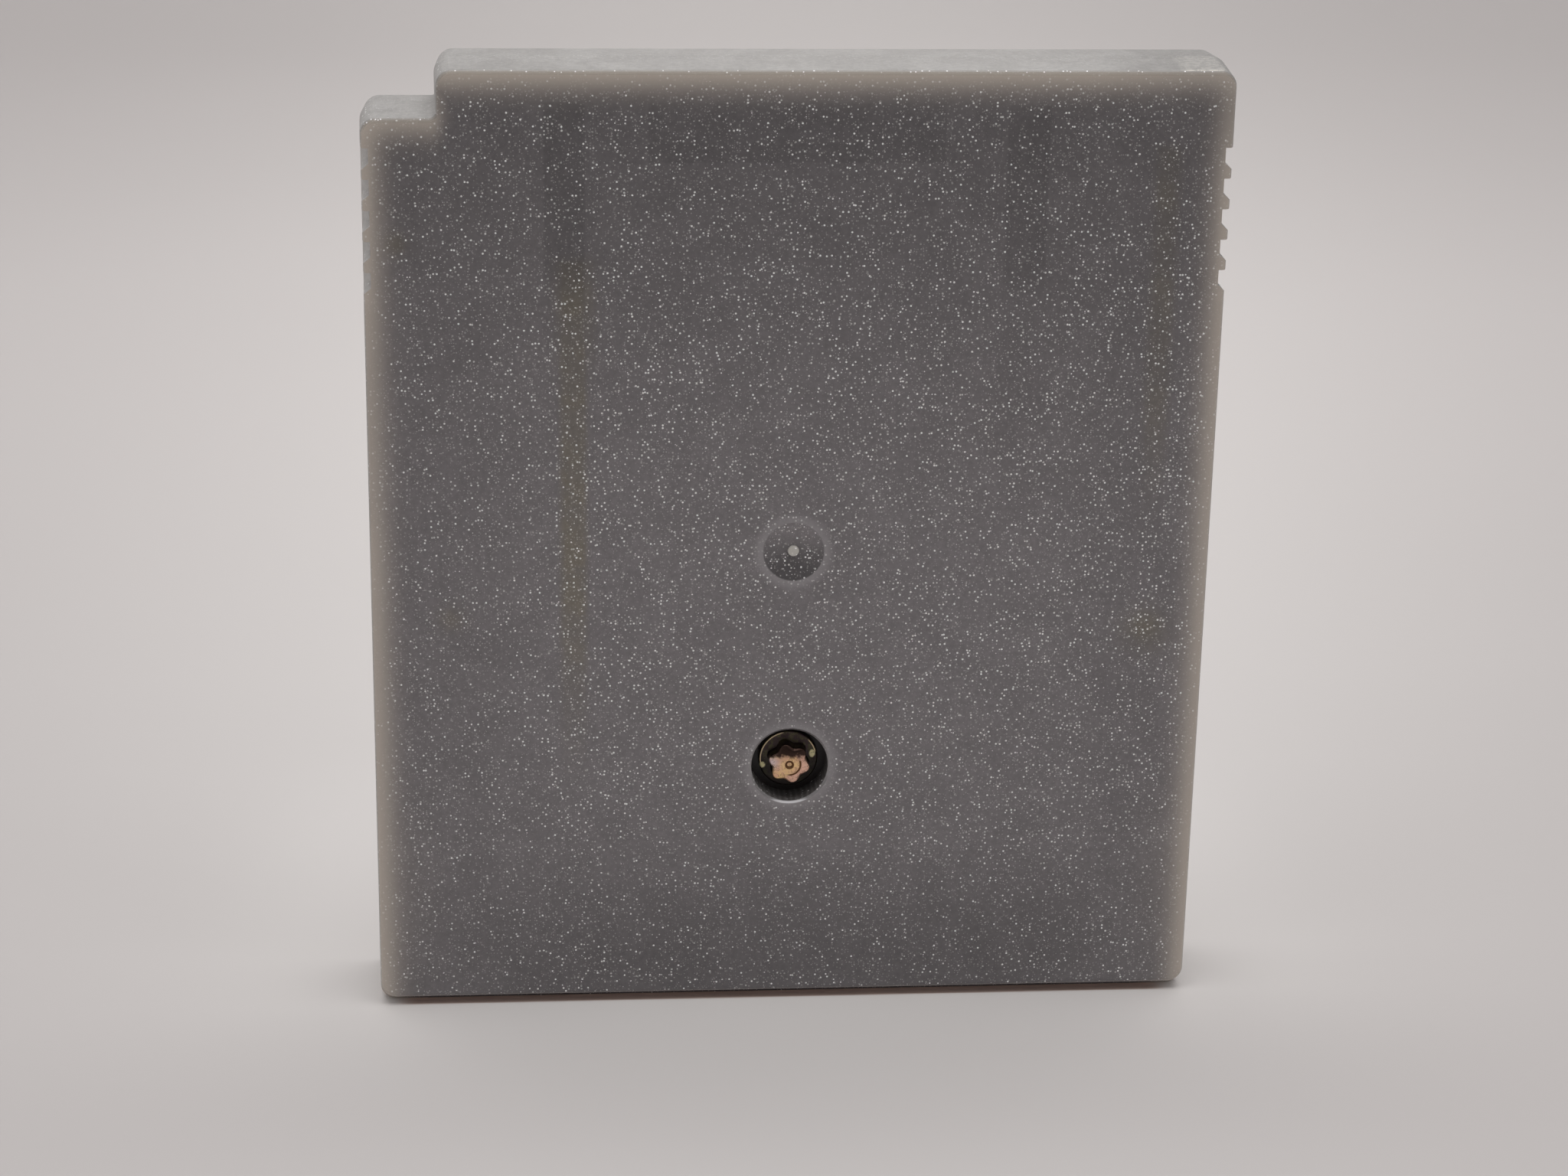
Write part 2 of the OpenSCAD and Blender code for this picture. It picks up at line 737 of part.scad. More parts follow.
module ram_chip() {
    package(ram_at, ram_size);
}

module ram_leads() {
    leads(ram_at, ram_size, ram_pins, lead_pitch, [0, 180], lead_reach);
}

module mapper_chip() {
    package(mapper_at, mapper_size);
}

module mapper_leads() {
    leads(mapper_at, mapper_size, mapper_pins, fine_pitch, [0, 90, 180, 270], lead_reach);
}

module supervisor_chip() {
    package(supervisor_at, supervisor_size);
}

module supervisor_leads() {
    leads(supervisor_at, supervisor_size, supervisor_pins, lead_pitch, [0, 180], lead_reach);
}

module diode() {
    package(diode_at, diode_size);
}

module diode_leads() {
    leads(diode_at, diode_size, 2, diode_pitch, [0], diode_lead_reach);
    leads(diode_at, diode_size, 1, diode_pitch, [180], diode_lead_reach);
}

// Coin cell with its cap towards the board, seated on the negative tab
module backup_battery() {
    r = cell_d / 2;
    color(steel_colour) translate([cell_at.x, board_back_y - tab_t, cell_at.y]) rotate([90, 0, 0])
        rotate_extrude($fn = 96) polygon([
            [0, 0], [r - rim_w, 0], [r - rim_w + rim_run, rim_h * rim_share], [r - rim_land, rim_h],
            [r - cell_round, rim_h], [r, rim_h + cell_round], [r, cell_t - cell_round],
            [r - cell_round, cell_t], [0, cell_t]
        ]);
}

module battery_tab_positive() {
    low = tab_t + cell_t;
    bend = cell_d / 2 + tab_gap;
    color(tin_colour) on_board(cell_at.x - tab_w / 2, tab_w) translate([cell_at.y, 0]) polygon([
        [-tab_overlap, low], [bend, low], [bend, 0], [bend + foot_l, 0],
        [bend + foot_l, tab_t], [bend + tab_t, tab_t], [bend + tab_t, low + tab_t], [-tab_overlap, low + tab_t]
    ]);
}

module battery_tab_negative() {
    tab_l = cell_d / 2 + tab_below + tab_overlap;
    color(tin_colour)
        board_box([cell_at.x, cell_at.y + tab_overlap - tab_l / 2], [tab_w, tab_l, tab_t]);
}

module clock_crystal() {
    r = can_d / 2;
    color(steel_colour) translate([can_at.x, board_back_y - r - can_gap, can_at.y]) rotate_extrude() polygon([
        [0, 0], [r, 0], [r, can_l - can_round], [r - can_round, can_l], [0, can_l]
    ]);
}

// Two wires out of the can's lower end, bent down to the board
module crystal_leads() {
    axis_h = can_d / 2 + can_gap;
    color(tin_colour) for (side = [-1, 1])
        on_board(can_at.x + side * wire_spacing / 2 - wire_w / 2, wire_w) translate([can_at.y, 0]) polygon([
            [0, axis_h - wire_w / 2], [0, axis_h + wire_w / 2], [-wire_l, axis_h + wire_w / 2], [-wire_l, 0],
            [wire_w - wire_l, 0], [wire_w - wire_l, axis_h - wire_w / 2]
        ]);
}

// The middle of a small part, between its end caps
module part_body(at, size) {
    board_box(at, [size.x - 2 * cap_l, size.y, size.z]);
}

module part_ends(at, size) {
    for (side = [-1, 1])
        board_box([at.x + side * (size.x - cap_l) / 2, at.y], [cap_l, size.y, size.z]);
}

module capacitors() {
    color([0.7, 0.6, 0.45]) for (at = capacitor_at) part_body(at, capacitor_size);
}

module capacitor_ends() {
    color(tin_colour) for (at = capacitor_at) part_ends(at, capacitor_size);
}

module resistors() {
    color([0.1, 0.1, 0.1]) for (at = resistor_at) part_body(at, resistor_size);
}

module resistor_ends() {
    color(tin_colour) for (at = resistor_at) part_ends(at, resistor_size);
}

back_shell();
front_shell();
security_screw();
circuit_board();
edge_contacts();
rom_chip();
rom_leads();
ram_chip();
ram_leads();
mapper_chip();
mapper_leads();
supervisor_chip();
supervisor_leads();
backup_battery();
battery_tab_positive();
battery_tab_negative();
clock_crystal();
crystal_leads();
capacitors();
capacitor_ends();
resistors();
resistor_ends();
diode();
diode_leads();
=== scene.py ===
import math

import bmesh
import bpy
from mathutils import Matrix, Vector


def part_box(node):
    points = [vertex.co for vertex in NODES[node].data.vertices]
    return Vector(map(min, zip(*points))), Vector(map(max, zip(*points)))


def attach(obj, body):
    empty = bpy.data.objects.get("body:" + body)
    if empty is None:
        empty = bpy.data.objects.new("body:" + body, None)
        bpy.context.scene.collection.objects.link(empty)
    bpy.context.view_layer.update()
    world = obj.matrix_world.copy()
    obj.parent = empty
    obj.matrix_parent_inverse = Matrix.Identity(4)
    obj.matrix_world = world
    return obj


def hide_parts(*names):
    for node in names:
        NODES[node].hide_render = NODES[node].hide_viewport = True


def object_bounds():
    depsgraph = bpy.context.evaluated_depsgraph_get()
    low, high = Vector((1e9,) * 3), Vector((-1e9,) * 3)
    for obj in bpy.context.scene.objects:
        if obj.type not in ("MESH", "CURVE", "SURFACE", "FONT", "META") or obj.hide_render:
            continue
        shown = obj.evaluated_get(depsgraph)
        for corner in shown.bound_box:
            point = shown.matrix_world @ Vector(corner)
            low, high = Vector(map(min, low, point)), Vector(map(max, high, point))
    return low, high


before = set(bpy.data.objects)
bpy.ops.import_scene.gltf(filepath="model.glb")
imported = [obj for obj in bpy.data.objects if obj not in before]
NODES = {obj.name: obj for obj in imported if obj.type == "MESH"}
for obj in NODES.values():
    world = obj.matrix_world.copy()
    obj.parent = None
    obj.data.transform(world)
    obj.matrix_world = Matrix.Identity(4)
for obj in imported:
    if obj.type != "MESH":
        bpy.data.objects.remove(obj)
CAD_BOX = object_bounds()

bl_info = {
    "name": "Game cartridge look",
    "version": (1, 0, 0),
    "blender": (4, 5, 0),
    "location": "3D View > Sidebar > Cartridge",
    "description": "Dresses a game cartridge in glitter-filled plastic and lights it on a pale sweep",
    "category": "Object",
}

MM = 0.001

# Places and sizes in millimetres, read from model.glb where it gives them
SHELL_LOW, SHELL_HIGH = (corner / MM for corner in CAD_BOX)
SCREW_LOW, SCREW_HIGH = (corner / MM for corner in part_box("security_screw"))
BOARD_LOW, BOARD_HIGH = (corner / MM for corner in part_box("circuit_board"))
HALF_W = (SHELL_HIGH.x - SHELL_LOW.x) / 2
BODY_H = SHELL_HIGH.z
BACK_Y = SHELL_LOW.y
SCREW_X = (SCREW_LOW.x + SCREW_HIGH.x) / 2
SCREW_Z = (SCREW_LOW.z + SCREW_HIGH.z) / 2
NOTCH_W, NOTCH_H = 4.85, 3.1
SHELF_Z = BODY_H - NOTCH_H
GRIP_LOW, GRIP_TOP = 50.6, 60.9
GRIP_FLOOR, GRIP_TIP = 27.4, 28.1
BORE_R = 2.65
GATE_Z = 33.3
GATE_R = 2.075
STUB_R = 0.375
CONTACT_PITCH = 1.5

# Painted shade of parts behind the back, as fields: left, right, low and high end, softness of the outline
# and of the foot, and how much darker each is
INNER_SHADE_FIELDS = {
    "left lug": (-16.65, -14.0, 51.5, 63.9, 0.22, 4.0, 0.16),
    "right lug": (13.5, 16.25, 52.0, 63.7, 0.22, 4.0, 0.14),
    "thinned panel": (-9.9, 9.4, 59.95, 63.85, 0.22, 0.2, 0.095),
    "foot of the panel": (-9.9, 9.4, 59.95, 61.2, 0.22, 0.2, 0.035),
    "under the right lug": (13.6, 17.5, 38.0, 51.5, 2.0, 16.0, 0.05),
}
STOP_WALL_LOW, STOP_WALL_HIGH = 11.2, 12.3

# Brown streaks in the back: the same columns, but how strong each is comes last
STREAKS = {
    "left streak": (-15.65, -13.95, 24.0, 53.5, 0.7, 18.0, 0.8),
    "its head": (-15.9, -13.4, 47.0, 53.6, 1.2, 5.0, 0.5),
    "right streak": (23.4, 24.9, 40.0, 61.0, 1.0, 14.0, 0.5),
}

# Brown spots in the back: place across and up, reach, and how strong each is
SPOTS = {
    "right spot": (24.3, 27.4, 1.4, 0.75),
    "faint left spot": (-23.0, 28.8, 0.9, 0.5),
    "left grip spot": (-26.2, 54.6, 0.7, 0.9),
}

# Colours, 0 to 255 on the screen
STUB_COLOUR = (200, 197, 190)
# Painted shade in the screw's bore, and a painted highlight on its rim
BORE_SHADE_COLOUR = (40, 34, 33)
BORE_RIM_HIGHLIGHT = (208, 206, 209)
# The flakes are real; their bright dots are painted glints
FLAKE_GLINT_COLOUR = (255, 251, 250)
FINE_FLAKE_GLINT_COLOUR = (240, 238, 234)
SHINE_COLOUR = (240, 234, 222)
YELLOW_PLATING, PINK_PLATING = (240, 204, 150), (230, 184, 156)
OUTER_PLATING, LOBE_PLATING = (238, 194, 172), (216, 204, 214)
DULLED_PLATING, SHADED_PLATING = (104, 72, 50), (72, 56, 50)
# Painted shade on the screw's flange, with brown and green tints
BROWN_FLANGE_SHADE, GREEN_FLANGE_SHADE = (54, 42, 42), (70, 66, 46)
# A painted highlight in arcs on the flange's rim, and pale spots on the flange
ARC_HIGHLIGHT, PALE_SPOT = (250, 226, 184), (232, 224, 176)
DARK_RESIST, LIGHT_RESIST, TRACK_RESIST = (22, 88, 54), (28, 98, 62), (52, 132, 84)
# Painted shade on the floor under the shell, tinted warm
WARM_SHADE_TINT = (255, 230, 220)
LIGHT_THROUGH_SHELL = (51, 40, 35)

# Finishes inside the housing: nodes, colour, colour of the patches, and roughness
METALS = {
    "Tinned leads": (
        (
            "rom_leads", "ram_leads", "mapper_leads", "supervisor_leads", "crystal_leads", "capacitor_ends",
            "resistor_ends", "diode_leads",
        ),
        (205, 205, 200), (170, 170, 165), 0.3,
    ),
    "Contact gold": (("edge_contacts",), (226, 184, 96), (206, 160, 78), 0.25),
    "Cell can": (("backup_battery",), (198, 198, 194), (178, 177, 172), 0.28),
    "Tab nickel": (
        ("battery_tab_positive", "battery_tab_negative"), (190, 187, 178), (165, 162, 152), 0.35,
    ),
    "Crystal can": (("clock_crystal",), (210, 209, 205), (188, 187, 182), 0.22),
}
RESINS = {
    "Package resin": (
        ("rom_chip", "ram_chip", "mapper_chip", "supervisor_chip", "diode"),
        (34, 34, 36), (44, 44, 46), 0.6,
    ),
    "Capacitor ceramic": (("capacitors",), (176, 148, 108), (160, 132, 94), 0.55),
    "Resistor glaze": (("resistors",), (24, 24, 26), (34, 34, 36), 0.35),
}


def srgb(red, green, blue):
    """The linear values of a colour that is written as 0 to 255 on the screen."""
    linear = []
    for part in (red, green, blue):
        share = part / 255
        linear.append(share / 12.92 if share <= 0.04045 else ((share + 0.055) / 1.055) ** 2.4)
    return (*linear, 1.0)


class NodeDesk:
    """Adds shader nodes to one tree and joins them, with sockets given by name."""

    def __init__(self, tree):
        self.tree = tree
        self.count = 0

    def add(self, kind, sockets=None, **settings):
        node = self.tree.nodes.new(kind)
        node.location = ((self.count % 8) * 190, -(self.count // 8) * 260)
        self.count += 1
        for name, value in settings.items():
            setattr(node, name, value)
        for name, value in (sockets or {}).items():
            self.feed(node.inputs[name], value)
        return node

    def feed(self, socket, value):
        if isinstance(value, bpy.types.NodeSocket):
            self.tree.links.new(value, socket)
        else:
            socket.default_value = value

    def maths(self, operation, *values):
        return self.add("ShaderNodeMath", dict(enumerate(values)), operation=operation).outputs[0]

    def vectors(self, operation, first, second):
        return self.add("ShaderNodeVectorMath", {0: first, 1: second}, operation=operation).outputs[0]

    def split(self, vector):
        return self.add("ShaderNodeSeparateXYZ", {"Vector": vector}).outputs

    def times(self, product, *factors):
        for factor in factors:
            product = self.maths("MULTIPLY", product, factor)
        return product

    def most(self, largest, *others):
        for other in others:
            largest = self.maths("MAXIMUM", largest, other)
        return largest

    def less(self, whole, part):
        return self.maths("SUBTRACT", whole, part)

    def plus(self, base, mask, share):
        """base, with share added where mask is 1."""
        return self.maths("MULTIPLY_ADD", mask, share, base)

    def dimmed(self, value, mask, depth):
        """value, lowered by the share depth where mask is 1."""
        return self.times(value, self.plus(1.0, mask, -depth))

    def unsigned(self, value):
        return self.maths("ABSOLUTE", value)

    def ramp(self, value, low, high, out_low=0.0, out_high=1.0, smooth=True):
        """value brought from low..high to out_low..out_high, held at both ends."""
        return self.add(
            "ShaderNodeMapRange",
            {"Value": value, "From Min": low, "From Max": high, "To Min": out_low, "To Max": out_high},
            interpolation_type="SMOOTHSTEP" if smooth else "LINEAR",
        ).outputs["Result"]

    def rise(self, value, low, high):
        """0 below low and 1 above high."""
        return self.ramp(value, low, high)

    def fall(self, value, low, high):
        """1 below low and 0 above high."""
        return self.ramp(value, low, high, 1.0, 0.0)

    def band(self, value, low, high, soft):
        """1 where value lies from low to high, falling to 0 over soft at both ends."""
        start = self.rise(value, low - soft / 2, low + soft / 2)
        return self.times(start, self.fall(value, high - soft / 2, high + soft / 2))

    def patch(self, across, height, left, right, low, high, soft, soft_foot):
        """1 in a rectangle, whose foot may be softer than its other sides."""
        foot = self.rise(height, low - soft_foot / 2, low + soft_foot / 2)
        head = self.fall(height, high - soft / 2, high + soft / 2)
        return self.times(self.band(across, left, right, soft), self.times(foot, head))

    def bell(self, value, reach, centre=0.0):
        """1 at the centre, falling away like a bell over reach."""
        if centre:
            value = self.less(value, centre)
        share = self.maths("DIVIDE", value, reach)
        return self.maths("EXPONENT", self.times(share, share, -1.0))

    def radius(self, across, height, centre_x, centre_z):
        """Distance from a point of the face."""
        side = self.less(across, centre_x)
        up = self.less(height, centre_z)
        return self.maths("SQRT", self.maths("MULTIPLY_ADD", side, side, self.times(up, up)))

    def mix(self, factor, first, second, blend_type="MIX"):
        sockets = {0: factor, 6: first, 7: second}
        return self.add("ShaderNodeMix", sockets, data_type="RGBA", blend_type=blend_type).outputs[2]

    def tinted(self, colour, mask, tint):
        """colour multiplied by a screen colour where mask is 1."""
        return self.mix(mask, colour, self.mix(1.0, colour, srgb(*tint), "MULTIPLY"))

    def scaled(self, colour, share):
        """colour times share, which may vary over the surface."""
        colour = colour if isinstance(colour, bpy.types.NodeSocket) else colour[:3]
        return self.add("ShaderNodeVectorMath", {0: colour, "Scale": share}, operation="SCALE").outputs[0]

    def noise(self, vector, size, detail=2.0, roughness=0.5):
        """Soft unevenness with spots about size across, in the vector's unit."""
        scale = self.maths("DIVIDE", 1.0, size) if isinstance(size, bpy.types.NodeSocket) else 1.0 / size
        return self.add(
            "ShaderNodeTexNoise",
            {"Vector": vector, "Scale": scale, "Detail": detail, "Roughness": roughness},
        ).outputs["Fac"]


# Effects that several materials share


def effect_group(name, inputs, outputs):
    """A new node group with its desk, entry and exit; an input without a number is a vector."""
    tree = bpy.data.node_groups.new(name, "ShaderNodeTree")
    for label, default in inputs.items():
        kind = "Vector" if default is None else "Float"
        socket = tree.interface.new_socket(label, in_out="INPUT", socket_type=f"NodeSocket{kind}")
        if default is not None:
            socket.default_value = default
    for label, kind in outputs.items():
        tree.interface.new_socket(label, in_out="OUTPUT", socket_type=f"NodeSocket{kind}")
    desk = NodeDesk(tree)
    entry = desk.add("NodeGroupInput")
    leave = desk.add("NodeGroupOutput")
    return desk, entry.outputs, leave.inputs


def build_glitter_group():
    """Flakes that lie at random in a plastic: how much of each shows, its brightness and its hue."""
    smallest_flake, hard_core = 0.7, 0.6
    desk, entry, leave = effect_group(
        "Glitter flakes",
        {"Vector": None, "Spacing": 0.3, "Reach": 0.3, "Share": 0.5},
        {"Flake": "Float", "Tone": "Float", "Hue": "Color"},
    )
    scale = desk.maths("DIVIDE", 1.0, entry["Spacing"])
    cells = desk.add(
        "ShaderNodeTexVoronoi",
        {"Vector": entry["Vector"], "Scale": scale, "Randomness": 1.0},
        voronoi_dimensions="3D",
        feature="F1",
    )
    chance, size, tone = desk.add("ShaderNodeSeparateColor", {"Color": cells.outputs["Color"]}).outputs
    reach = desk.times(entry["Reach"], desk.ramp(size, 0.0, 1.0, smallest_flake, 1.0))
    body = desk.fall(cells.outputs["Distance"], desk.times(reach, hard_core), reach)
    chosen = desk.maths("LESS_THAN", chance, entry["Share"])
    desk.feed(leave["Flake"], desk.times(body, chosen))
    desk.feed(leave["Tone"], tone)
    desk.feed(leave["Hue"], cells.outputs["Color"])


def build_grain_group():
    """Fine unevenness of a surface, as a height, and slow patches for its gloss."""
    desk, entry, leave = effect_group(
        "Surface grain",
        {"Vector": None, "Grain size": 0.2, "Patch size": 4.0},
        {"Height": "Float", "Patches": "Float"},
    )
    grain = desk.noise(entry["Vector"], entry["Grain size"], detail=3.0, roughness=0.6)
    slow = desk.noise(entry["Vector"], entry["Patch size"], detail=2.0, roughness=0.55)
    desk.feed(leave["Height"], grain)
    desk.feed(leave["Patches"], desk.rise(slow, 0.3, 0.7))


def build_glow_group():
    """Light through a shell near its outline and notch: 1 at the edge, falling inward."""
    shelf_share, wall_share, right_end_share = 0.8, 0.42, 0.78
    wall_reach, wall_drop, shelf_lip = 0.8, 1.3, 0.5
    corner_loss, left_middle_loss = 0.4, 0.14
    skirt_in, skirt_reach, skirt_share = 2.4, 1.7, 0.06
    desk, entry, leave = effect_group(
        "Edge glow",
        {"Across": 0.0, "Height": 0.0, "Side reach": 1.3, "Top reach": 1.5},
        {"Side": "Float", "Top": "Float"},
    )
    across, height = entry["Across"], entry["Height"]
    past_notch = desk.maths("ADD", across, HALF_W - NOTCH_W)

    top = desk.bell(desk.less(BODY_H, height), entry["Top reach"])
    top = desk.times(top, desk.ramp(across, 18.0, 28.0, 1.0, right_end_share))
    shelf = desk.bell(desk.most(desk.less(SHELF_Z, height), 0.0), entry["Top reach"])
    by_shelf = desk.times(desk.fall(past_notch, -0.3, 1.1), desk.fall(height, SHELF_Z, SHELF_Z + shelf_lip))
    top = desk.most(top, desk.times(shelf, by_shelf, shelf_share))
    beside_wall = desk.bell(desk.most(past_notch, 0.0), wall_reach)
    wall = desk.times(beside_wall, desk.rise(height, SHELF_Z - wall_drop, SHELF_Z), wall_share)
    desk.feed(leave["Top"], desk.most(top, wall))

    side = desk.less(HALF_W, desk.unsigned(across))
    corner = desk.times(desk.rise(height, 57.0, 65.0), desk.rise(across, 0.0, 20.0))
    left_middle = desk.times(desk.band(height, 35.0, 48.0, 7.0), desk.fall(across, -20.0, 0.0))
    fade = desk.plus(1.0, corner, -corner_loss)
    fade = desk.plus(fade, left_middle, -left_middle_loss)
    edge_light = desk.times(desk.bell(side, entry["Side reach"]), fade)
    skirt = desk.times(desk.bell(side, skirt_reach, skirt_in), desk.bell(height, 6.0, 9.0))
    desk.feed(leave["Side"], desk.plus(edge_light, skirt, skirt_share))


def place_group(desk, name, sockets):
    return desk.add("ShaderNodeGroup", sockets, node_tree=bpy.data.node_groups[name]).outputs


def place_grain(desk, vector, grain_size, patch_size):
    sockets = {"Vector": vector, "Grain size": grain_size, "Patch size": patch_size}
    return place_group(desk, "Surface grain", sockets)


def place_flakes(desk, vector, spacing, reach, share):
    sockets = {"Vector": vector, "Spacing": spacing, "Reach": reach, "Share": share}
    return place_group(desk, "Glitter flakes", sockets)


def over_patches(desk, surface, low, high):
    """A value that goes from low to high over the grain's slow patches."""
    return desk.ramp(surface["Patches"], 0.0, 1.0, low, high)


def new_material(name, **principled):
    """A material with its Principled BSDF, and the desk that adds to its tree."""
    material = bpy.data.materials.new(name)
    material.use_nodes = True
    desk = NodeDesk(material.node_tree)
    shader = material.node_tree.nodes["Principled BSDF"]
    for socket, value in principled.items():
        shader.inputs[socket.replace("_", " ")].default_value = value
    return material, desk, shader


def set_finish(desk, shader, colour, roughness, relief, strength, relief_mm):
    """Joins a colour, a roughness and a relief to a shader."""
    desk.feed(shader.inputs["Base Color"], colour)
    desk.feed(shader.inputs["Roughness"], roughness)
    bump = desk.add("ShaderNodeBump", {"Strength": strength, "Distance": relief_mm * MM, "Height": relief})
    desk.feed(shader.inputs["Normal"], bump.outputs["Normal"])


def place_in_mm(desk):
    place = desk.add("ShaderNodeTexCoord").outputs["Object"]
    return desk.vectors("MULTIPLY", place, (1 / MM, 1 / MM, 1 / MM))


def dress(node_name, material):
    for slot in NODES[node_name].material_slots:
        slot.material = material


# Materials of the housing


class SkinPoint:
    """Where a point of the housing's skin lies, in millimetres, and how far it faces back and up."""

    def __init__(self, desk):
        self.vector = place_in_mm(desk)
        self.across, self.depth, self.height = desk.split(self.vector)
        self.off_middle = desk.unsigned(self.across)
        _, facing, self.upward = desk.split(desk.add("ShaderNodeTexCoord").outputs["Normal"])
        self.facing = desk.unsigned(facing)
        self.flat_on = desk.rise(self.facing, 0.3, 0.9)


def back_shade_and_light(desk, skin):
    """Painted shade and light for what lies behind the back: darker at the head and over the lugs, panel
    and pocket, lighter over the board and the stop wall.
    """
    head_shade_tone, pocket_depth, pocket_end_depth, board_light_gain, stop_wall_light_gain = 0.71, 0.26, 0.1, 0.085, 0.035
    # Painted shade: the face darkens towards its head
    shade = desk.ramp(skin.height, 36.0, 63.0, 1.0, head_shade_tone, smooth=False)
    # Painted shade over the pocket near the foot
    pocket = desk.ramp(skin.off_middle, 15.0, 26.0, pocket_depth, pocket_end_depth)
    shade = desk.times(shade, desk.less(1.0, desk.times(pocket, desk.fall(skin.height, 2.0, 13.0))))
    # Painted light: the middle of the face, over the board, is made lighter
    board = desk.times(desk.band(skin.height, 13.0, 50.0, 14.0), desk.band(skin.across, -19.5, 19.5, 5.0))
    shade = desk.dimmed(shade, board, -board_light_gain)
    # Painted shade over the lugs and the panel behind the back
    for *field, depth in INNER_SHADE_FIELDS.values():
        shade = desk.dimmed(shade, desk.patch(skin.across, skin.height, *field), depth)
    # Painted light: a lighter band over the stop wall
    stop_wall = desk.band(skin.height, STOP_WALL_LOW, STOP_WALL_HIGH, 0.4)
    return desk.dimmed(shade, stop_wall, -stop_wall_light_gain)


def front_shade_and_light(desk, skin):
    """Painted shade of the board through the label side, and painted light on the floors of its recesses.
    """
    board_shade_depth, recess_light_gain = 0.14, 0.14
    # Painted shade over the board behind the label side
    board = desk.patch(
        skin.across, skin.height, BOARD_LOW.x, BOARD_HIGH.x, BOARD_LOW.z, BOARD_HIGH.z, 2.5, 3.0
    )
    shade = desk.plus(1.0, board, -board_shade_depth)
    # Painted light on the floors of the recesses
    recess_light = desk.fall(skin.depth, SHELL_HIGH.y - 0.3, SHELL_HIGH.y - 0.08)
    return desk.dimmed(shade, recess_light, -recess_light_gain)


def back_stains(desk, skin):
    """Brown streaks and spots in the back, as one mask."""
    total = 0.0
    for *streak, weight in STREAKS.values():
        total = desk.most(desk.times(desk.patch(skin.across, skin.height, *streak), weight), total)
    for across, height, reach, weight in SPOTS.values():
        spot = desk.bell(desk.radius(skin.across, skin.height, across, height), reach)
        total = desk.most(desk.times(spot, weight), total)
    return total


def add_edge_light(desk, skin, colour, glow, grips, settings):
    """Light in the plastic's outer edges and in the tips of its grips."""
    tip_share = 0.2
    sides = desk.times(glow["Side"], settings.side_glow)
    top = desk.times(glow["Top"], settings.top_glow)
    tips = desk.times(grips, desk.rise(skin.off_middle, GRIP_FLOOR, GRIP_TIP), tip_share)
    for mask in (sides, top, tips):
        colour = desk.mix(mask, colour, srgb(*settings.edge_colour))
    return colour


def add_halos(desk, skin, from_hole, from_gate, colour, settings):
    """Painted light in lighter rings round the screw hole and the gate mark, and painted shade in its dish.
    """
    halo_share, dish_low_tone, dish_high_tone = 0.26, 0.52, 1.19
    # Painted light: halos round the screw hole and the gate mark
    hole_halo = desk.fall(from_hole, BORE_R + 0.1, BORE_R + 0.95)
    gate_halo = desk.fall(from_gate, GATE_R + 0.15, GATE_R + 0.85)
    dish = desk.fall(from_gate, GATE_R - 0.08, GATE_R + 0.04)
    halo = desk.most(hole_halo, desk.times(gate_halo, desk.less(1.0, dish)))
    colour = desk.mix(desk.times(halo, halo_share), colour, srgb(*settings.halo_colour))
    tone = desk.ramp(skin.height, GATE_Z - 1.2, GATE_Z + GATE_R, dish_low_tone, dish_high_tone)
    return desk.scaled(colour, desk.plus(1.0, dish, desk.less(tone, 1.0))), halo


def side_plastic(desk, skin, mottle, grips, settings):
    """Plastic seen from its sides and top, with painted shade on the shelf and at both ends of the top, and
    painted light in the left grooves.
    """
    below_top_depth, left_end_depth, right_end_depth, left_groove_light_gain = 0.12, 0.11, 0.24, 0.22
    # Painted shade on the shelf and at both ends of the top
    shade_on_top = desk.times(desk.fall(skin.height, BODY_H - 2.2, BODY_H - 1.2), below_top_depth)
    shade_on_top = desk.most(shade_on_top, desk.ramp(skin.across, -23.0, -8.0, left_end_depth, 0.0))
    shade_on_top = desk.most(shade_on_top, desk.ramp(skin.across, 14.0, 28.0, 0.0, right_end_depth))
    shade_on_top = desk.times(shade_on_top, desk.rise(skin.upward, 0.4, 0.8))
    # Painted light in the left grooves
    left_groove_light = desk.times(grips, desk.fall(skin.across, -GRIP_FLOOR - 0.5, -GRIP_FLOOR))
    tone = desk.plus(desk.less(mottle, shade_on_top), left_groove_light, left_groove_light_gain)
    return desk.scaled(srgb(*settings.lit_side_colour), tone)


def shade_back_rounding(desk, skin, colour):
    """Darker where the back's face rounds off into the top."""
    depth, right_corner_share = 0.38, 0.45
    rounding = desk.rise(skin.upward, 0.05, 0.4)
    rounding = desk.times(rounding, desk.ramp(skin.upward, 0.8, 1.0, depth, 0.0))
    right_corner = desk.ramp(skin.across, 20.0, 25.0, 0.0, right_corner_share)
    place = desk.most(desk.rise(skin.facing, 0.1, 0.4), right_corner)
    return desk.scaled(colour, desk.less(1.0, desk.times(rounding, place)))


def shade_undersides(desk, skin, colour, settings):
    """Painted shade on the undersides, but painted light on the foot, most of all at its ends."""
    depth, foot_share, foot_end_share = 0.5, -0.7, 0.3
    underside = desk.ramp(skin.upward, -0.7, -0.15, depth, 0.0)
    underside = desk.times(underside, desk.ramp(skin.height, 0.6, 1.4, foot_share, 1.0))
    colour = desk.scaled(colour, desk.less(1.0, underside))
    foot_end_light = desk.ramp(skin.height, 0.3, 0.9, foot_end_share, 0.0)
    foot_end_light = desk.times(foot_end_light, desk.rise(skin.off_middle, 25.0, 27.0))
    return desk.mix(foot_end_light, colour, srgb(*settings.edge_colour))


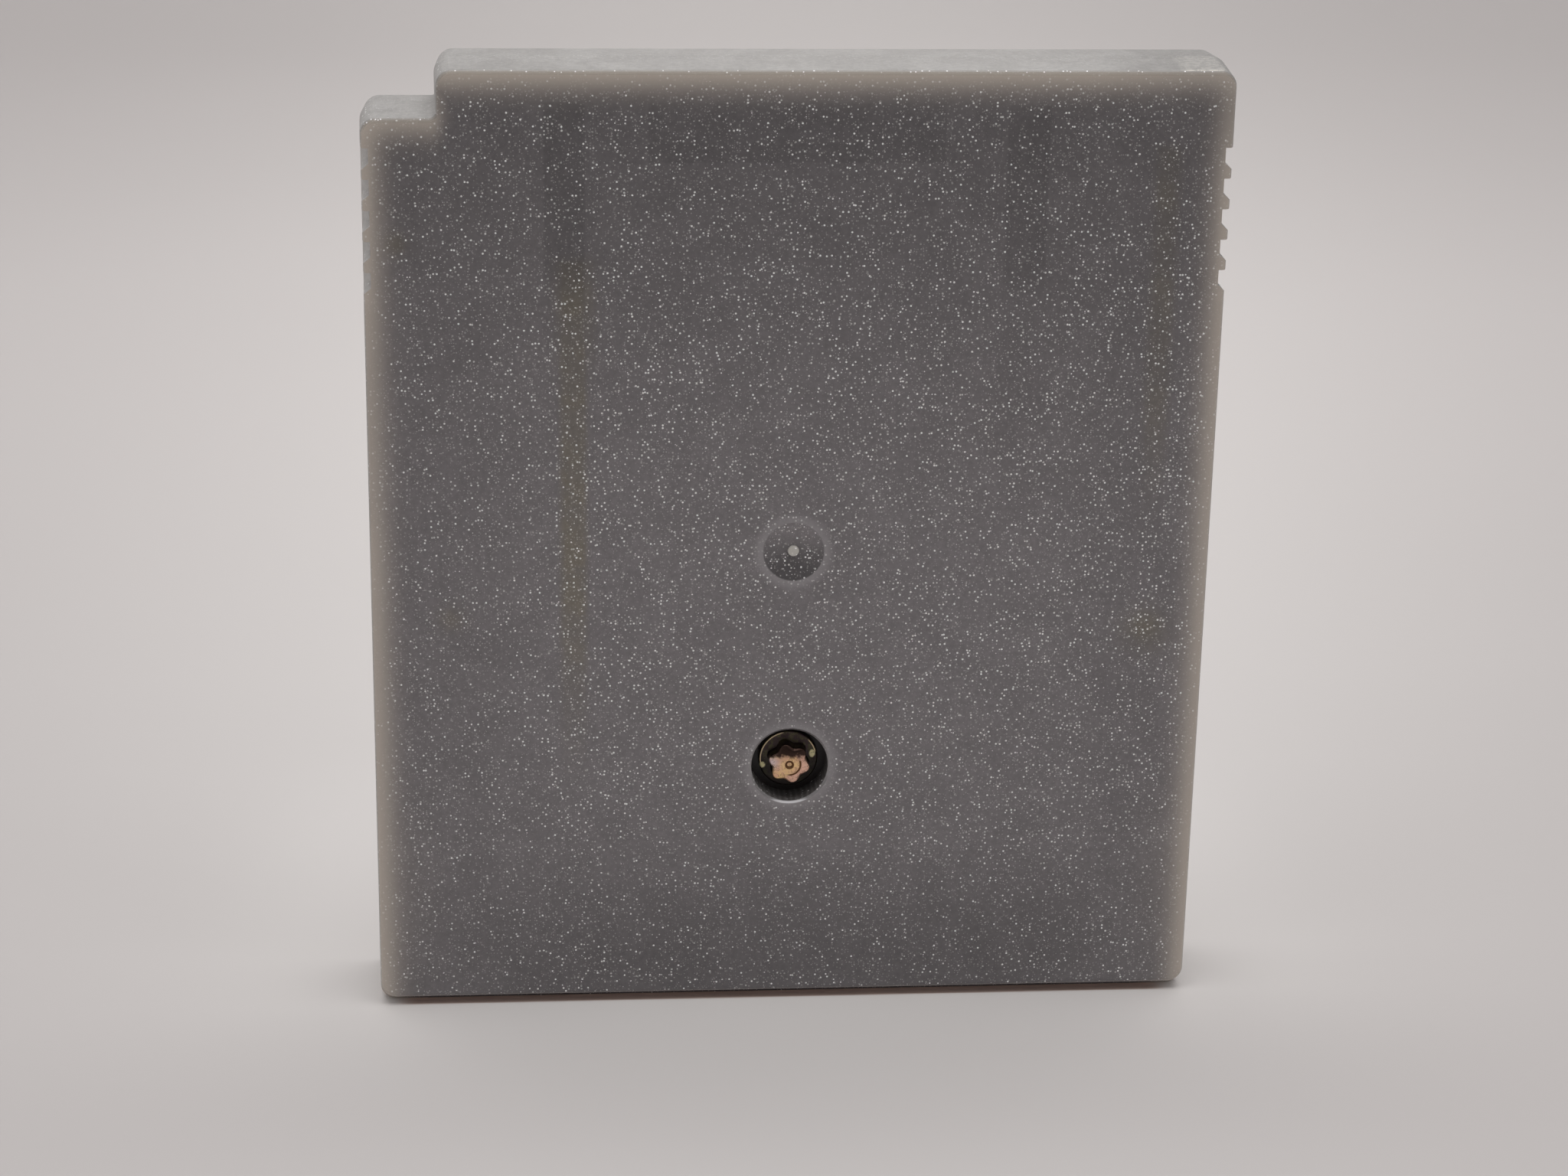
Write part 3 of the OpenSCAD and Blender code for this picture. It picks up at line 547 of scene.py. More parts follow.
def add_hole_marks(desk, skin, from_hole, from_gate, colour):
    """The light stub in the gate mark, painted shade in the screw's bore and a painted highlight on the rim
    under it.
    """
    stub = desk.fall(from_gate, STUB_R - 0.04, STUB_R + 0.04)
    colour = desk.mix(stub, colour, srgb(*STUB_COLOUR))
    # Painted shade: the bore's wall darkened near black
    bore = desk.fall(from_hole, BORE_R - 0.02, BORE_R + 0.03)
    bore = desk.times(bore, desk.rise(skin.depth, BACK_Y + 0.1, BACK_Y + 0.18))
    colour = desk.mix(bore, colour, srgb(*BORE_SHADE_COLOUR))
    # Painted highlight on the rim's lower edge
    rim = desk.band(from_hole, BORE_R + 0.03, BORE_R + 0.15, 0.06)
    rim = desk.times(rim, desk.fall(skin.height, SCREW_Z - BORE_R, SCREW_Z - BORE_R + 0.25))
    return desk.mix(rim, colour, srgb(*BORE_RIM_HIGHLIGHT)), bore


def add_glitter(desk, skin, colour, hush, settings):
    """Flakes in the plastic as bright dots of painted glint, brightest in the middle of the face, with
    finer, fainter ones below, and painted glints where the rim rounds over.
    """
    spacing, reach, share, lively_share, lively_gain = 0.225, 0.37, 0.6, 0.14, 0.35
    fine_spacing, fine_reach, fine_share, fine_tone = 0.16, 0.42, 0.7, 0.34
    dimmest, own_hue, fine_shift = 0.1, 0.06, (3.1, 7.7, 5.3)
    quiet = desk.plus(1.0, hush, -settings.hush)
    lively = desk.times(desk.band(skin.height, 14.0, 54.0, 12.0), desk.rise(skin.across, -22.0, -14.0))
    bright = place_flakes(desk, skin.vector, spacing, reach, desk.plus(share, lively, lively_share))
    tone = desk.maths("POWER", bright["Tone"], 2.2)
    tone = desk.ramp(tone, 0.0, 0.75, dimmest, 1.0, smooth=False)
    tone = desk.times(tone, desk.plus(1.0, lively, lively_gain))
    # Painted glints where the rim rounds over
    rim_glint = desk.times(desk.band(skin.upward, 0.35, 0.9, 0.3), desk.rise(bright["Tone"], 0.5, 0.65))
    shown = desk.times(bright["Flake"], desk.most(desk.times(tone, quiet), rim_glint))
    flake_glint_colour = desk.mix(own_hue, srgb(*FLAKE_GLINT_COLOUR), bright["Hue"])
    colour = desk.mix(desk.maths("MINIMUM", shown, 1.0), colour, flake_glint_colour)
    shifted = desk.vectors("ADD", skin.vector, fine_shift)
    fine = place_flakes(desk, shifted, fine_spacing, fine_reach, fine_share)
    faint = desk.times(fine["Flake"], fine["Tone"], fine_tone, quiet)
    return desk.mix(faint, colour, srgb(*FINE_FLAKE_GLINT_COLOUR))


def add_shine(desk, skin, colour, surface):
    """The uneven light line on the right end of the back's top edge."""
    shine = desk.times(desk.band(skin.upward, 0.92, 0.99, 0.04), desk.band(skin.across, 24.8, 27.4, 0.8))
    shine = desk.times(shine, desk.ramp(surface["Height"], 0.42, 0.56, 0.2, 0.7))
    return desk.mix(shine, colour, srgb(*SHINE_COLOUR))


def build_shell_plastic(name, settings, from_back):
    """Silver-grey, slightly see-through plastic with glitter in it and light in its edges."""
    material, desk, shader = new_material(name, IOR=1.5, Specular_IOR_Level=0.45)
    skin = SkinPoint(desk)
    surface = place_grain(desk, skin.vector, grain_size=0.35, patch_size=2.4)
    mottle = over_patches(desk, surface, 0.95, 1.05)
    mottle = desk.times(mottle, desk.ramp(surface["Height"], 0.25, 0.75, 0.9, 1.1))
    # Painted shade and light of the parts behind each face
    inside = back_shade_and_light(desk, skin) if from_back else front_shade_and_light(desk, skin)
    colour = desk.scaled(srgb(*settings.shaded_core_colour), desk.times(mottle, inside))
    if from_back:
        stains = desk.times(back_stains(desk, skin), over_patches(desk, surface, 0.6, 1.0))
        colour = desk.tinted(colour, stains, settings.stain_colour)

    glow = place_group(
        desk, "Edge glow",
        {
            "Across": skin.across, "Height": skin.height,
            "Side reach": settings.side_glow_reach, "Top reach": settings.top_glow_reach,
        },
    )
    hush = desk.most(glow["Side"], glow["Top"], desk.less(1.0, skin.flat_on))
    grips = desk.band(skin.height, GRIP_LOW, GRIP_TOP, 0.3)
    colour = add_edge_light(desk, skin, colour, glow, grips, settings)
    if from_back:
        from_hole = desk.radius(skin.across, skin.height, SCREW_X, SCREW_Z)
        from_gate = desk.radius(skin.across, skin.height, 0.0, GATE_Z)
        colour, halo = add_halos(desk, skin, from_hole, from_gate, colour, settings)
        hush = desk.most(hush, halo)

    # Painted light and shade: faces turned to the sides and top take the lighter side colour, faces to
    # front and back the darker core colour
    colour = desk.mix(skin.flat_on, side_plastic(desk, skin, mottle, grips, settings), colour)
    if from_back:
        colour = shade_back_rounding(desk, skin, colour)
    colour = shade_undersides(desk, skin, colour, settings)
    if from_back:
        bore_hush = 1.4
        colour, bore = add_hole_marks(desk, skin, from_hole, from_gate, colour)
        hush = desk.most(hush, desk.times(bore, bore_hush))

    colour = add_glitter(desk, skin, colour, hush, settings)
    if from_back:
        colour = add_shine(desk, skin, colour, surface)
    roughness = over_patches(desk, surface, 0.36, 0.46)
    set_finish(desk, shader, colour, roughness, surface["Height"], strength=0.05, relief_mm=0.02)
    return material


# Materials of the screw and of what the housing holds


def build_metal(name, colour, dark, roughness):
    """A plated metal with darker patches where it has dulled."""
    material, desk, shader = new_material(name, Metallic=1.0)
    surface = place_grain(desk, place_in_mm(desk), grain_size=0.1, patch_size=1.2)
    plated = desk.mix(surface["Patches"], srgb(*colour), srgb(*dark))
    gloss = over_patches(desk, surface, roughness, roughness + 0.12)
    set_finish(desk, shader, plated, gloss, surface["Height"], strength=0.15, relief_mm=0.02)
    return material


def build_resin(name, colour, light, roughness):
    """A matt moulded or fired body with a fine grain."""
    material, desk, shader = new_material(name)
    surface = place_grain(desk, place_in_mm(desk), grain_size=0.15, patch_size=2.5)
    moulded = desk.mix(surface["Patches"], srgb(*colour), srgb(*light))
    gloss = over_patches(desk, surface, roughness - 0.05, roughness + 0.08)
    set_finish(desk, shader, moulded, gloss, surface["Height"], strength=0.4, relief_mm=0.03)
    return material


def head_plating(desk, side, rise, reach, surface, uneven):
    """Colour of the lobed head, dulled in its veins, its score and its dimple."""
    colour = desk.mix(surface["Patches"], srgb(*YELLOW_PLATING), srgb(*PINK_PLATING))
    outer = desk.times(desk.rise(reach, 0.7, 0.85), desk.rise(side, -0.4, 0.1))
    colour = desk.mix(outer, colour, srgb(*OUTER_PLATING))
    left_lobe = desk.bell(desk.radius(side, rise, -1.2, 0.15), 0.45)
    colour = desk.mix(desk.times(left_lobe, 0.75), colour, srgb(*LOBE_PLATING))
    off_mean = desk.less(uneven, 0.5)
    vein = desk.ramp(desk.unsigned(off_mean), 0.0, 0.03, 0.6, 0.0)
    score = desk.times(desk.band(reach, 0.7, 0.84, 0.06), desk.rise(side, -0.25, 0.1))
    score = desk.times(score, desk.fall(rise, 0.2, 0.4))
    dimple = desk.band(reach, 0.15, 0.32, 0.07)
    colour = desk.mix(desk.most(vein, score, dimple), colour, srgb(*DULLED_PLATING))
    ragged_height = desk.plus(rise, off_mean, 0.8)
    return desk.mix(desk.rise(ragged_height, 0.35, 0.7), colour, srgb(*SHADED_PLATING))


def flange_bright_parts(desk, side, rise, reach, uneven):
    """Masks of the painted highlight in arcs and the two pale spots on the flange."""
    left_arc = desk.times(desk.fall(side, -0.55, -0.25), desk.rise(rise, -0.5, -0.2))
    right_arc = desk.times(desk.rise(side, 1.3, 1.5), desk.rise(rise, 0.4, 0.6))
    arcs = desk.times(desk.band(reach, 1.9, 1.97, 0.04), desk.most(left_arc, right_arc))
    left_pale_spot = desk.fall(desk.radius(side, rise, -1.8, -0.45), 0.14, 0.26)
    right_pale_spot = desk.fall(desk.radius(side, desk.times(rise, 0.7), 1.66, 0.24), 0.15, 0.24)
    pale_spots = desk.times(desk.most(left_pale_spot, right_pale_spot), desk.rise(uneven, 0.34, 0.46))
    return arcs, pale_spots


def build_plating():
    """Yellow and pink plating on the lobed head, with painted shade near black on the flange round it."""
    flange_low, flange_high = 0.5, 1.9
    bright_matt, flange_matt = 0.7, 0.45
    material, desk, shader = new_material("Screw plating")
    place = place_in_mm(desk)
    across, depth, height = desk.split(place)
    side = desk.less(across, SCREW_X)
    rise = desk.less(height, SCREW_Z)
    reach = desk.radius(across, height, SCREW_X, SCREW_Z)
    surface = place_grain(desk, place, grain_size=0.12, patch_size=0.5)
    uneven = desk.noise(place, 0.35, detail=3.0, roughness=0.6)

    colour = head_plating(desk, side, rise, reach, surface, uneven)
    flange = desk.band(depth, SCREW_LOW.y + flange_low, SCREW_LOW.y + flange_high, 0.7)
    # Painted shade on the flange down in the bore, near black with brown and green tints
    flange_shade = desk.mix(desk.rise(uneven, 0.46, 0.6), srgb(*BROWN_FLANGE_SHADE), srgb(*GREEN_FLANGE_SHADE))
    flange_shade = desk.scaled(flange_shade, desk.ramp(rise, -0.6, 1.3, 0.45, 1.5))
    colour = desk.mix(flange, colour, flange_shade)
    arcs, pale_spots = (desk.times(mask, flange) for mask in flange_bright_parts(desk, side, rise, reach, uneven))
    # Painted highlights in arcs along the flange's rim
    colour = desk.mix(arcs, colour, srgb(*ARC_HIGHLIGHT))
    colour = desk.mix(pale_spots, colour, srgb(*PALE_SPOT))

    matt = desk.most(desk.times(desk.most(pale_spots, arcs), bright_matt), desk.times(flange, flange_matt))
    desk.feed(shader.inputs["Metallic"], desk.less(1.0, matt))
    roughness = over_patches(desk, surface, 0.28, 0.42)
    set_finish(desk, shader, colour, roughness, surface["Height"], strength=0.35, relief_mm=0.03)
    return material


def build_laminate():
    """Green solder resist over a woven laminate, with raised copper tracks up from the contacts."""
    weave_pitch, sway, sway_size = 0.25, 6.0, 9.0
    straight_top, swaying_from = 12.0, 18.0
    tracks_low, tracks_margin = 8.0, 2.0
    track_half, track_soft = 0.14, 0.06
    material, desk, shader = new_material("Board laminate", Specular_IOR_Level=0.5)
    place = place_in_mm(desk)
    across, _, height = desk.split(place)
    swaying = desk.plus(across, desk.noise(place, sway_size, detail=1.0), sway)
    ends = {0: desk.rise(height, straight_top, swaying_from), 2: across, 3: swaying}
    bent = desk.add("ShaderNodeMix", ends, data_type="FLOAT").outputs[0]
    half_pitch = CONTACT_PITCH / 2
    lane = desk.maths("PINGPONG", desk.maths("ADD", bent, half_pitch), half_pitch)
    track = desk.fall(lane, track_half, track_half + track_soft)
    track = desk.times(track, desk.band(height, tracks_low, BOARD_HIGH.z - tracks_margin, 1.0))
    threads = [desk.maths("SINE", desk.times(axis, math.pi / weave_pitch)) for axis in (across, height)]
    weave = desk.times(*threads)
    resist = desk.mix(desk.rise(weave, -1.0, 1.0), srgb(*DARK_RESIST), srgb(*LIGHT_RESIST))
    colour = desk.mix(track, resist, srgb(*TRACK_RESIST))
    roughness = desk.ramp(weave, -1.0, 1.0, 0.32, 0.4)
    set_finish(desk, shader, colour, roughness, track, strength=0.6, relief_mm=0.04)
    return material


# What a user may change


class CartridgeSettings(bpy.types.PropertyGroup):
    """Sizes and colours that a user of the cartridge would change."""

    # Painted shade: the darker copy of the plastic, for its flat front and back faces
    shaded_core_colour: bpy.props.FloatVectorProperty(
        name="Core colour", description="Plastic over the hollow inside, 0 to 255 on the screen",
        default=(122, 118, 120), size=3, min=0, max=255,
    )
    edge_colour: bpy.props.FloatVectorProperty(
        name="Edge colour", description="Plastic at the edges, lit through, 0 to 255 on the screen",
        default=(208, 197, 185), size=3, min=0, max=255,
    )
    # Painted light: colour of the lighter rings round the hole and the gate mark
    halo_colour: bpy.props.FloatVectorProperty(
        name="Halo colour", description="Rings round the hole and the gate mark, 0 to 255 on the screen",
        default=(194, 190, 192), size=3, min=0, max=255,
    )
    # Painted light: the lighter copy of the plastic, for its sides and top
    lit_side_colour: bpy.props.FloatVectorProperty(
        name="Side colour", description="Plastic seen from its sides and top, 0 to 255 on the screen",
        default=(171, 169, 167), size=3, min=0, max=255,
    )
    stain_colour: bpy.props.FloatVectorProperty(
        name="Stain colour", description="Tint of the brown streaks inside, 0 to 255 on the screen",
        default=(249, 243, 212), size=3, min=0, max=255,
    )
    side_glow: bpy.props.FloatProperty(
        name="Side glow", description="How far the sides of the face turn to the edge colour",
        default=0.8, min=0, max=1, subtype="FACTOR",
    )
    top_glow: bpy.props.FloatProperty(
        name="Top glow", description="How far the top of the face turns to the edge colour",
        default=0.95, min=0, max=1, subtype="FACTOR",
    )
    side_glow_reach: bpy.props.FloatProperty(
        name="Side glow reach", description="Width of the light edge at the sides, in millimetres",
        default=1.35, min=0.1, max=5,
    )
    top_glow_reach: bpy.props.FloatProperty(
        name="Top glow reach", description="Width of the light edge at the top, in millimetres",
        default=1.4, min=0.1, max=5,
    )
    hush: bpy.props.FloatProperty(
        name="Hush", description="How far the glitter fades in the light edges and rings",
        default=0.7, min=0, max=1, subtype="FACTOR",
    )
    lobes: bpy.props.IntProperty(
        name="Screw lobes", description="Lobes round the screw's head", default=6, min=3, max=8
    )
    lobe_turn: bpy.props.FloatProperty(
        name="Lobe turn", description="Angle of the first lobe", subtype="ANGLE", default=math.radians(-16)
    )
    lobe_depth: bpy.props.FloatProperty(
        name="Lobe depth", description="How far the valleys between the lobes cut in, in millimetres",
        default=0.27, min=0.05, max=0.6,
    )
    dome_radius: bpy.props.FloatProperty(
        name="Dome radius", description="Radius of the screw head's domed top, in millimetres",
        default=4.6, min=2, max=30,
    )
    thread_pitch: bpy.props.FloatProperty(
        name="Thread pitch", description="Rise of the screw's thread for each turn, in millimetres",
        default=0.6, min=0.3, max=1,
    )


class StageSettings(bpy.types.PropertyGroup):
    """The camera, the lamps and the sweep behind the cartridge."""

    camera_place: bpy.props.FloatVectorProperty(
        name="Camera", description="Where the camera stands", subtype="TRANSLATION", unit="LENGTH",
        default=(-0.019389, -0.219758, 0.107945), size=3,
    )
    yaw: bpy.props.FloatProperty(
        name="Yaw", description="Turn of the view to the right", subtype="ANGLE", default=math.radians(4.97)
    )
    pitch: bpy.props.FloatProperty(
        name="Pitch", description="How far the view looks down", subtype="ANGLE",
        default=math.radians(19.612),
    )
    roll: bpy.props.FloatProperty(
        name="Roll", description="Lean of the view", subtype="ANGLE", default=math.radians(1.033)
    )
    lens: bpy.props.FloatProperty(
        name="Lens", description="Focal length on a sensor 36 mm wide", default=78.14, min=20, max=300
    )
    sweep_colour: bpy.props.FloatVectorProperty(
        name="Sweep colour", description="Floor and backdrop, 0 to 255 on the screen",
        default=(196, 191, 190), size=3, min=0, max=255,
    )
    # Painted light: colour of the floor in the pool of light round the cartridge
    light_pool_colour: bpy.props.FloatVectorProperty(
        name="Pool colour", description="Floor round the cartridge, 0 to 255 on the screen",
        default=(228, 224, 222), size=3, min=0, max=255,
    )
    world_light: bpy.props.FloatProperty(
        name="World light", description="Light from all round", default=0.56, min=0, max=3
    )
    room_shade: bpy.props.FloatProperty(
        name="Room shade", description="How dark the room behind the camera is", default=0.85, min=0, max=1,
        subtype="FACTOR",
    )
    lamp_light: bpy.props.FloatProperty(
        name="Overhead lamp", description="Power of the large lamp above", unit="POWER", default=2.6, min=0
    )
    lamp_place: bpy.props.FloatVectorProperty(
        name="Lamp place", description="Where the lamp hangs", subtype="TRANSLATION", unit="LENGTH",
        default=(0.0, 0.02, 0.6), size=3,
    )
    lamp_size: bpy.props.FloatProperty(
        name="Lamp size", description="Side of the square lamp", unit="LENGTH", default=0.6, min=0.01
    )


# Shapes


def mesh_from_rings(name, rings):
    """A smooth mesh from rings of the same count of points, joined in order, with a point at each end."""
    builder = bmesh.new()
    rows = [[builder.verts.new(point) for point in ring] for ring in rings]
    for low, high in zip(rows, rows[1:]):
        for here in range(len(low)):
            there = (here + 1) % len(low)
            builder.faces.new((low[here], low[there], high[there], high[here]))
    for row in (rows[0], rows[-1]):
        middle = sum((vertex.co for vertex in row), Vector()) / len(row)
        hub = builder.verts.new(middle)
        for here in range(len(row)):
            builder.faces.new((row[here], row[(here + 1) % len(row)], hub))
    bmesh.ops.recalc_face_normals(builder, faces=builder.faces)
    return smooth_mesh(name, builder)


def sweep_mesh(half_width, front, bend_start, bend_radius, height, steps=24):
    """A floor that bends up into a backdrop."""
    profile = [(front, 0.0), (bend_start, 0.0)]
    for step in range(1, steps + 1):
        angle = math.pi / 2 * step / steps
        profile.append((bend_start + bend_radius * math.sin(angle), bend_radius * (1 - math.cos(angle))))
    profile.append((bend_start + bend_radius, height))
    builder = bmesh.new()
    rows = [[builder.verts.new((x, y, z)) for x in (-half_width, half_width)] for y, z in profile]
    for low, high in zip(rows, rows[1:]):
        builder.faces.new((low[0], low[1], high[1], high[0]))
    return smooth_mesh("sweep", builder)


def smooth_mesh(name, builder):
    mesh = bpy.data.meshes.new(name)
    builder.to_mesh(mesh)
    builder.free()
    for face in mesh.polygons:
        face.use_smooth = True
    return mesh


def lobed_radius(settings, outer, angle):
    """Radius of the lobed head at an angle, with round lobes and shallow valleys."""
    valley_sharpness = 0.85
    wave = 0.5 + 0.5 * math.cos(settings.lobes * (angle - settings.lobe_turn))
    return outer - settings.lobe_depth * (1 - wave**valley_sharpness)


def quarter_turns(steps):
    """Angles over a quarter of a turn, without its start."""
    return [math.pi / 2 * step / steps for step in range(1, steps + 1)]


def screw_rings(settings):
    """Rings of the security screw from the middle of its head to its tip, in metres."""
    ring_points, dome_rows = 180, 7
    star_r, shank_r = 1.45, 1.0
    flange_r = (SCREW_HIGH.x - SCREW_LOW.x) / 2
    top_y, tip_y = SCREW_LOW.y, SCREW_HIGH.y
    head_height, flange_height = 1.25, 0.6
    flange_y = top_y + head_height
    seat_y = flange_y + flange_height
    dimple_r, dimple_depth, dimple_lip = 0.24, 0.1, 1.3
    dimple_profile = ((0.3, 1.0), (0.75, 0.95), (0.95, 0.5), (1.1, 0.1), (dimple_lip, 0.0))
    bevel, foot, rim = 0.13, 0.1, 0.12
    neck, neck_share = 0.35, 0.86
    thread_root, thread_height, thread_half, thread_rows = 0.84, 0.14, 0.35, 8
    tip, tip_chamfer, tip_shoulder_share, tip_end_share = 0.5, 0.12, 0.6, 0.42
    rings = []

    def ring(depth_at, radius_at):
        points = []
        for step in range(ring_points):
            angle = 2 * math.pi * step / ring_points
            radius = radius_at(angle)
            x = SCREW_X + radius * math.cos(angle)
            z = SCREW_Z + radius * math.sin(angle)
            points.append(Vector((x, depth_at(radius), z)) * MM)
        rings.append(points)

    def round_ring(depth, radius):
        ring(lambda r: depth, lambda a: radius)

    def dome(radius):
        return settings.dome_radius - math.sqrt(settings.dome_radius**2 - radius**2)

    def star(angle):
        return lobed_radius(settings, star_r, angle)

    for share, down in dimple_profile:
        ring(lambda r, down=down: top_y + dome(r) + dimple_depth * down, lambda a, s=share: dimple_r * s)
    for share in (row / dome_rows for row in range(1, dome_rows + 1)):
        lip_r = dimple_lip * dimple_r
        ring(lambda r: top_y + dome(r), lambda a, s=share: lip_r + (star(a) - bevel - lip_r) * s)
    edge_y = top_y + dome(star_r - bevel)
    for turn in quarter_turns(5):
        ring(
            lambda r, t=turn: edge_y + bevel * (1 - math.cos(t)),
            lambda a, t=turn: star(a) - bevel * (1 - math.sin(t)),
        )
    ring(lambda r: flange_y - foot, star)
    for turn in quarter_turns(3):
        ring(
            lambda r, t=turn: flange_y - foot * (1 - math.sin(t)),
            lambda a, t=turn: star(a) + foot * (1 - math.cos(t)),
        )
    round_ring(flange_y, flange_r - rim)
    for turn in quarter_turns(4):
        round_ring(flange_y + rim * (1 - math.cos(turn)), flange_r - rim * (1 - math.sin(turn)))
    round_ring(seat_y, flange_r)
    round_ring(seat_y, shank_r * neck_share)
    round_ring(seat_y + neck, shank_r * neck_share)
    depth = seat_y + neck
    while depth < tip_y - tip:
        depth += settings.thread_pitch / thread_rows

        def crest(angle, depth=depth):
            turn = (depth / settings.thread_pitch - angle / (2 * math.pi)) % 1.0
            ridge = max(0.0, 1 - abs(turn - 0.5) / thread_half)
            return shank_r * (thread_root + thread_height * ridge)

        ring(lambda r, d=depth: d, crest)
    round_ring(tip_y - tip_chamfer, shank_r * tip_shoulder_share)
    round_ring(tip_y, shank_r * tip_end_share)
    return rings


# The stage


def painted_light_pool(desk, across, back):
    """Painted light: how far the paper turns to the paler floor of the pool of light round the cartridge,
    and beside it.
    """
    slant, far, beside_gain = -0.09, 400.0, 0.25
    near_reach = desk.ramp(back, 0.0, 60.0, 44.0, 62.0, smooth=False)
    far_reach = desk.ramp(back, 60.0, far, 0.0, 33.0, smooth=False)
    pool = desk.bell(desk.plus(across, back, slant), desk.maths("ADD", near_reach, far_reach))
    pool = desk.times(pool, desk.ramp(back, -24.0, 4.0, 0.38, 1.0))
    pool = desk.times(pool, desk.ramp(back, 60.0, far, 1.0, 0.5, smooth=False))
    beside = desk.bell(desk.unsigned(across), 9.0, 31.0)
    beside = desk.times(beside, desk.band(back, -6.0, 34.0, 26.0))
    return desk.maths("MINIMUM", desk.plus(pool, beside, beside_gain), 1.0)


def paper_light_and_shade(desk, across, back):
    """Painted light and shade: slow changes in the paper's brightness, from the cartridge's foot up the
    backdrop.
    """
    behind_shade_tone, backdrop_gain, far_tone, foot_light_gain = 0.935, 0.035, 0.97, 0.07
    tone = desk.ramp(back, 40.0, 150.0, behind_shade_tone, 1.0)
    tone = desk.plus(tone, desk.bell(back, 60.0, 200.0), backdrop_gain)
    tone = desk.times(tone, desk.ramp(back, 270.0, 400.0, 1.0, far_tone))
    # Painted light on the floor at the cartridge's foot
    foot = desk.times(desk.bell(back, 6.0, -4.0), desk.band(across, -29.0, 29.0, 8.0))
    return desk.dimmed(tone, foot, -foot_light_gain)


def build_paper(stage):
    """Pale paper with painted shade, warmer and darker, under the shell's edge, and lit through the shell.
    """
    corner_inset, lip_depth, end_gain = 1.8, 0.38, 1.4
    material, desk, shader = new_material(
        "Sweep paper", Roughness=0.85, Specular_IOR_Level=0.2, Emission_Strength=1.0
    )
    place = place_in_mm(desk)
    across, back, _ = desk.split(place)
    # Painted pool of light on the floor round the cartridge
    paper = desk.mix(painted_light_pool(desk, across, back), srgb(*stage.sweep_colour), srgb(*stage.light_pool_colour))
    under = desk.band(across, SHELL_LOW.x + corner_inset, SHELL_HIGH.x - corner_inset, corner_inset)
    # Painted shade under the shell's edge, warmer and darker
    in_shade = desk.times(under, desk.band(back, BACK_Y + 0.18, BACK_Y + 3.0, 0.3))
    paper = desk.tinted(paper, in_shade, WARM_SHADE_TINT)
    lip_shade = desk.times(in_shade, desk.fall(back, BACK_Y + 0.6, BACK_Y + 1.0))
    tone = desk.dimmed(paper_light_and_shade(desk, across, back), lip_shade, lip_depth)
    cloud = desk.ramp(desk.noise(place, 160.0), 0.35, 0.65, 0.985, 1.0)
    desk.feed(shader.inputs["Base Color"], desk.scaled(paper, desk.times(cloud, tone)))
    through = desk.times(under, desk.band(back, BACK_Y + 1.25, 3.0, 0.7))
    through = desk.times(through, desk.ramp(desk.unsigned(across), 24.0, 27.5, 1.0, end_gain))
    desk.feed(shader.inputs["Emission Color"], desk.scaled(srgb(*LIGHT_THROUGH_SHELL), through))
    return material


def build_soft_light(stage):
    """Even light from all round, but for a darker room low behind the camera."""
    world = bpy.data.worlds.new("soft_light")
    world.use_nodes = True
    desk = NodeDesk(world.node_tree)
    _, to_back, upward = desk.split(desk.add("ShaderNodeTexCoord").outputs["Generated"])
    background = world.node_tree.nodes["Background"]
    background.inputs["Color"].default_value = (1.0, 0.985, 0.975, 1.0)
    room = desk.times(desk.fall(to_back, -0.85, -0.55), desk.band(upward, -0.05, 0.5, 0.25))
    light = desk.times(desk.plus(1.0, room, -stage.room_shade), stage.world_light)
    desk.feed(background.inputs["Strength"], light)
    return world


def build_lamp(stage):
    lamp = bpy.data.lights.new("overhead_lamp", "AREA")
    lamp.shape = "SQUARE"
    lamp.size = stage.lamp_size
    lamp.energy = stage.lamp_light
    lamp_object = bpy.data.objects.new("overhead_lamp", lamp)
    lamp_object.location = stage.lamp_place
    return lamp_object


def view_matrix(stage):
    """The camera's place and turn, from its yaw, pitch and roll."""
    yaw, pitch, roll = stage.yaw, stage.pitch, stage.roll
    ahead = Vector((math.sin(yaw) * math.cos(pitch), math.cos(yaw) * math.cos(pitch), -math.sin(pitch)))
    right = Vector((math.cos(yaw), -math.sin(yaw), 0))
    above = right.cross(ahead)
    leaning_right = math.cos(roll) * right + math.sin(roll) * above
    leaning_up = math.cos(roll) * above - math.sin(roll) * right
    turn = Matrix((leaning_right, leaning_up, -ahead)).transposed()
    return Matrix.Translation(Vector(stage.camera_place)) @ turn.to_4x4()


def build_camera(stage):
    camera = bpy.data.cameras.new("camera")
    camera.lens = stage.lens
    camera.sensor_width = 36.0
    camera.sensor_fit = "HORIZONTAL"
    camera.clip_start, camera.clip_end = 0.01, 10.0
    camera_object = bpy.data.objects.new("camera", camera)
    camera_object.matrix_world = view_matrix(stage)
    return camera_object


class CARTRIDGE_OT_stage(bpy.types.Operator):
    """Builds the pale sweep, the soft light and the camera"""

    bl_idname = "cartridge.stage"
    bl_label = "Stage"

    def execute(self, context):
        scene = context.scene
        stage = scene.cartridge_stage
        mesh = sweep_mesh(half_width=1.2, front=-0.9, bend_start=0.35, bend_radius=0.25, height=1.2)
        sweep = bpy.data.objects.new("sweep", mesh)
        scene.collection.objects.link(sweep)
        sweep.data.materials.append(build_paper(stage))
        scene.collection.objects.link(build_lamp(stage))
        scene.world = build_soft_light(stage)
        camera = build_camera(stage)
        scene.collection.objects.link(camera)
        scene.camera = camera
        scene.view_settings.view_transform = "Standard"
        return {"FINISHED"}


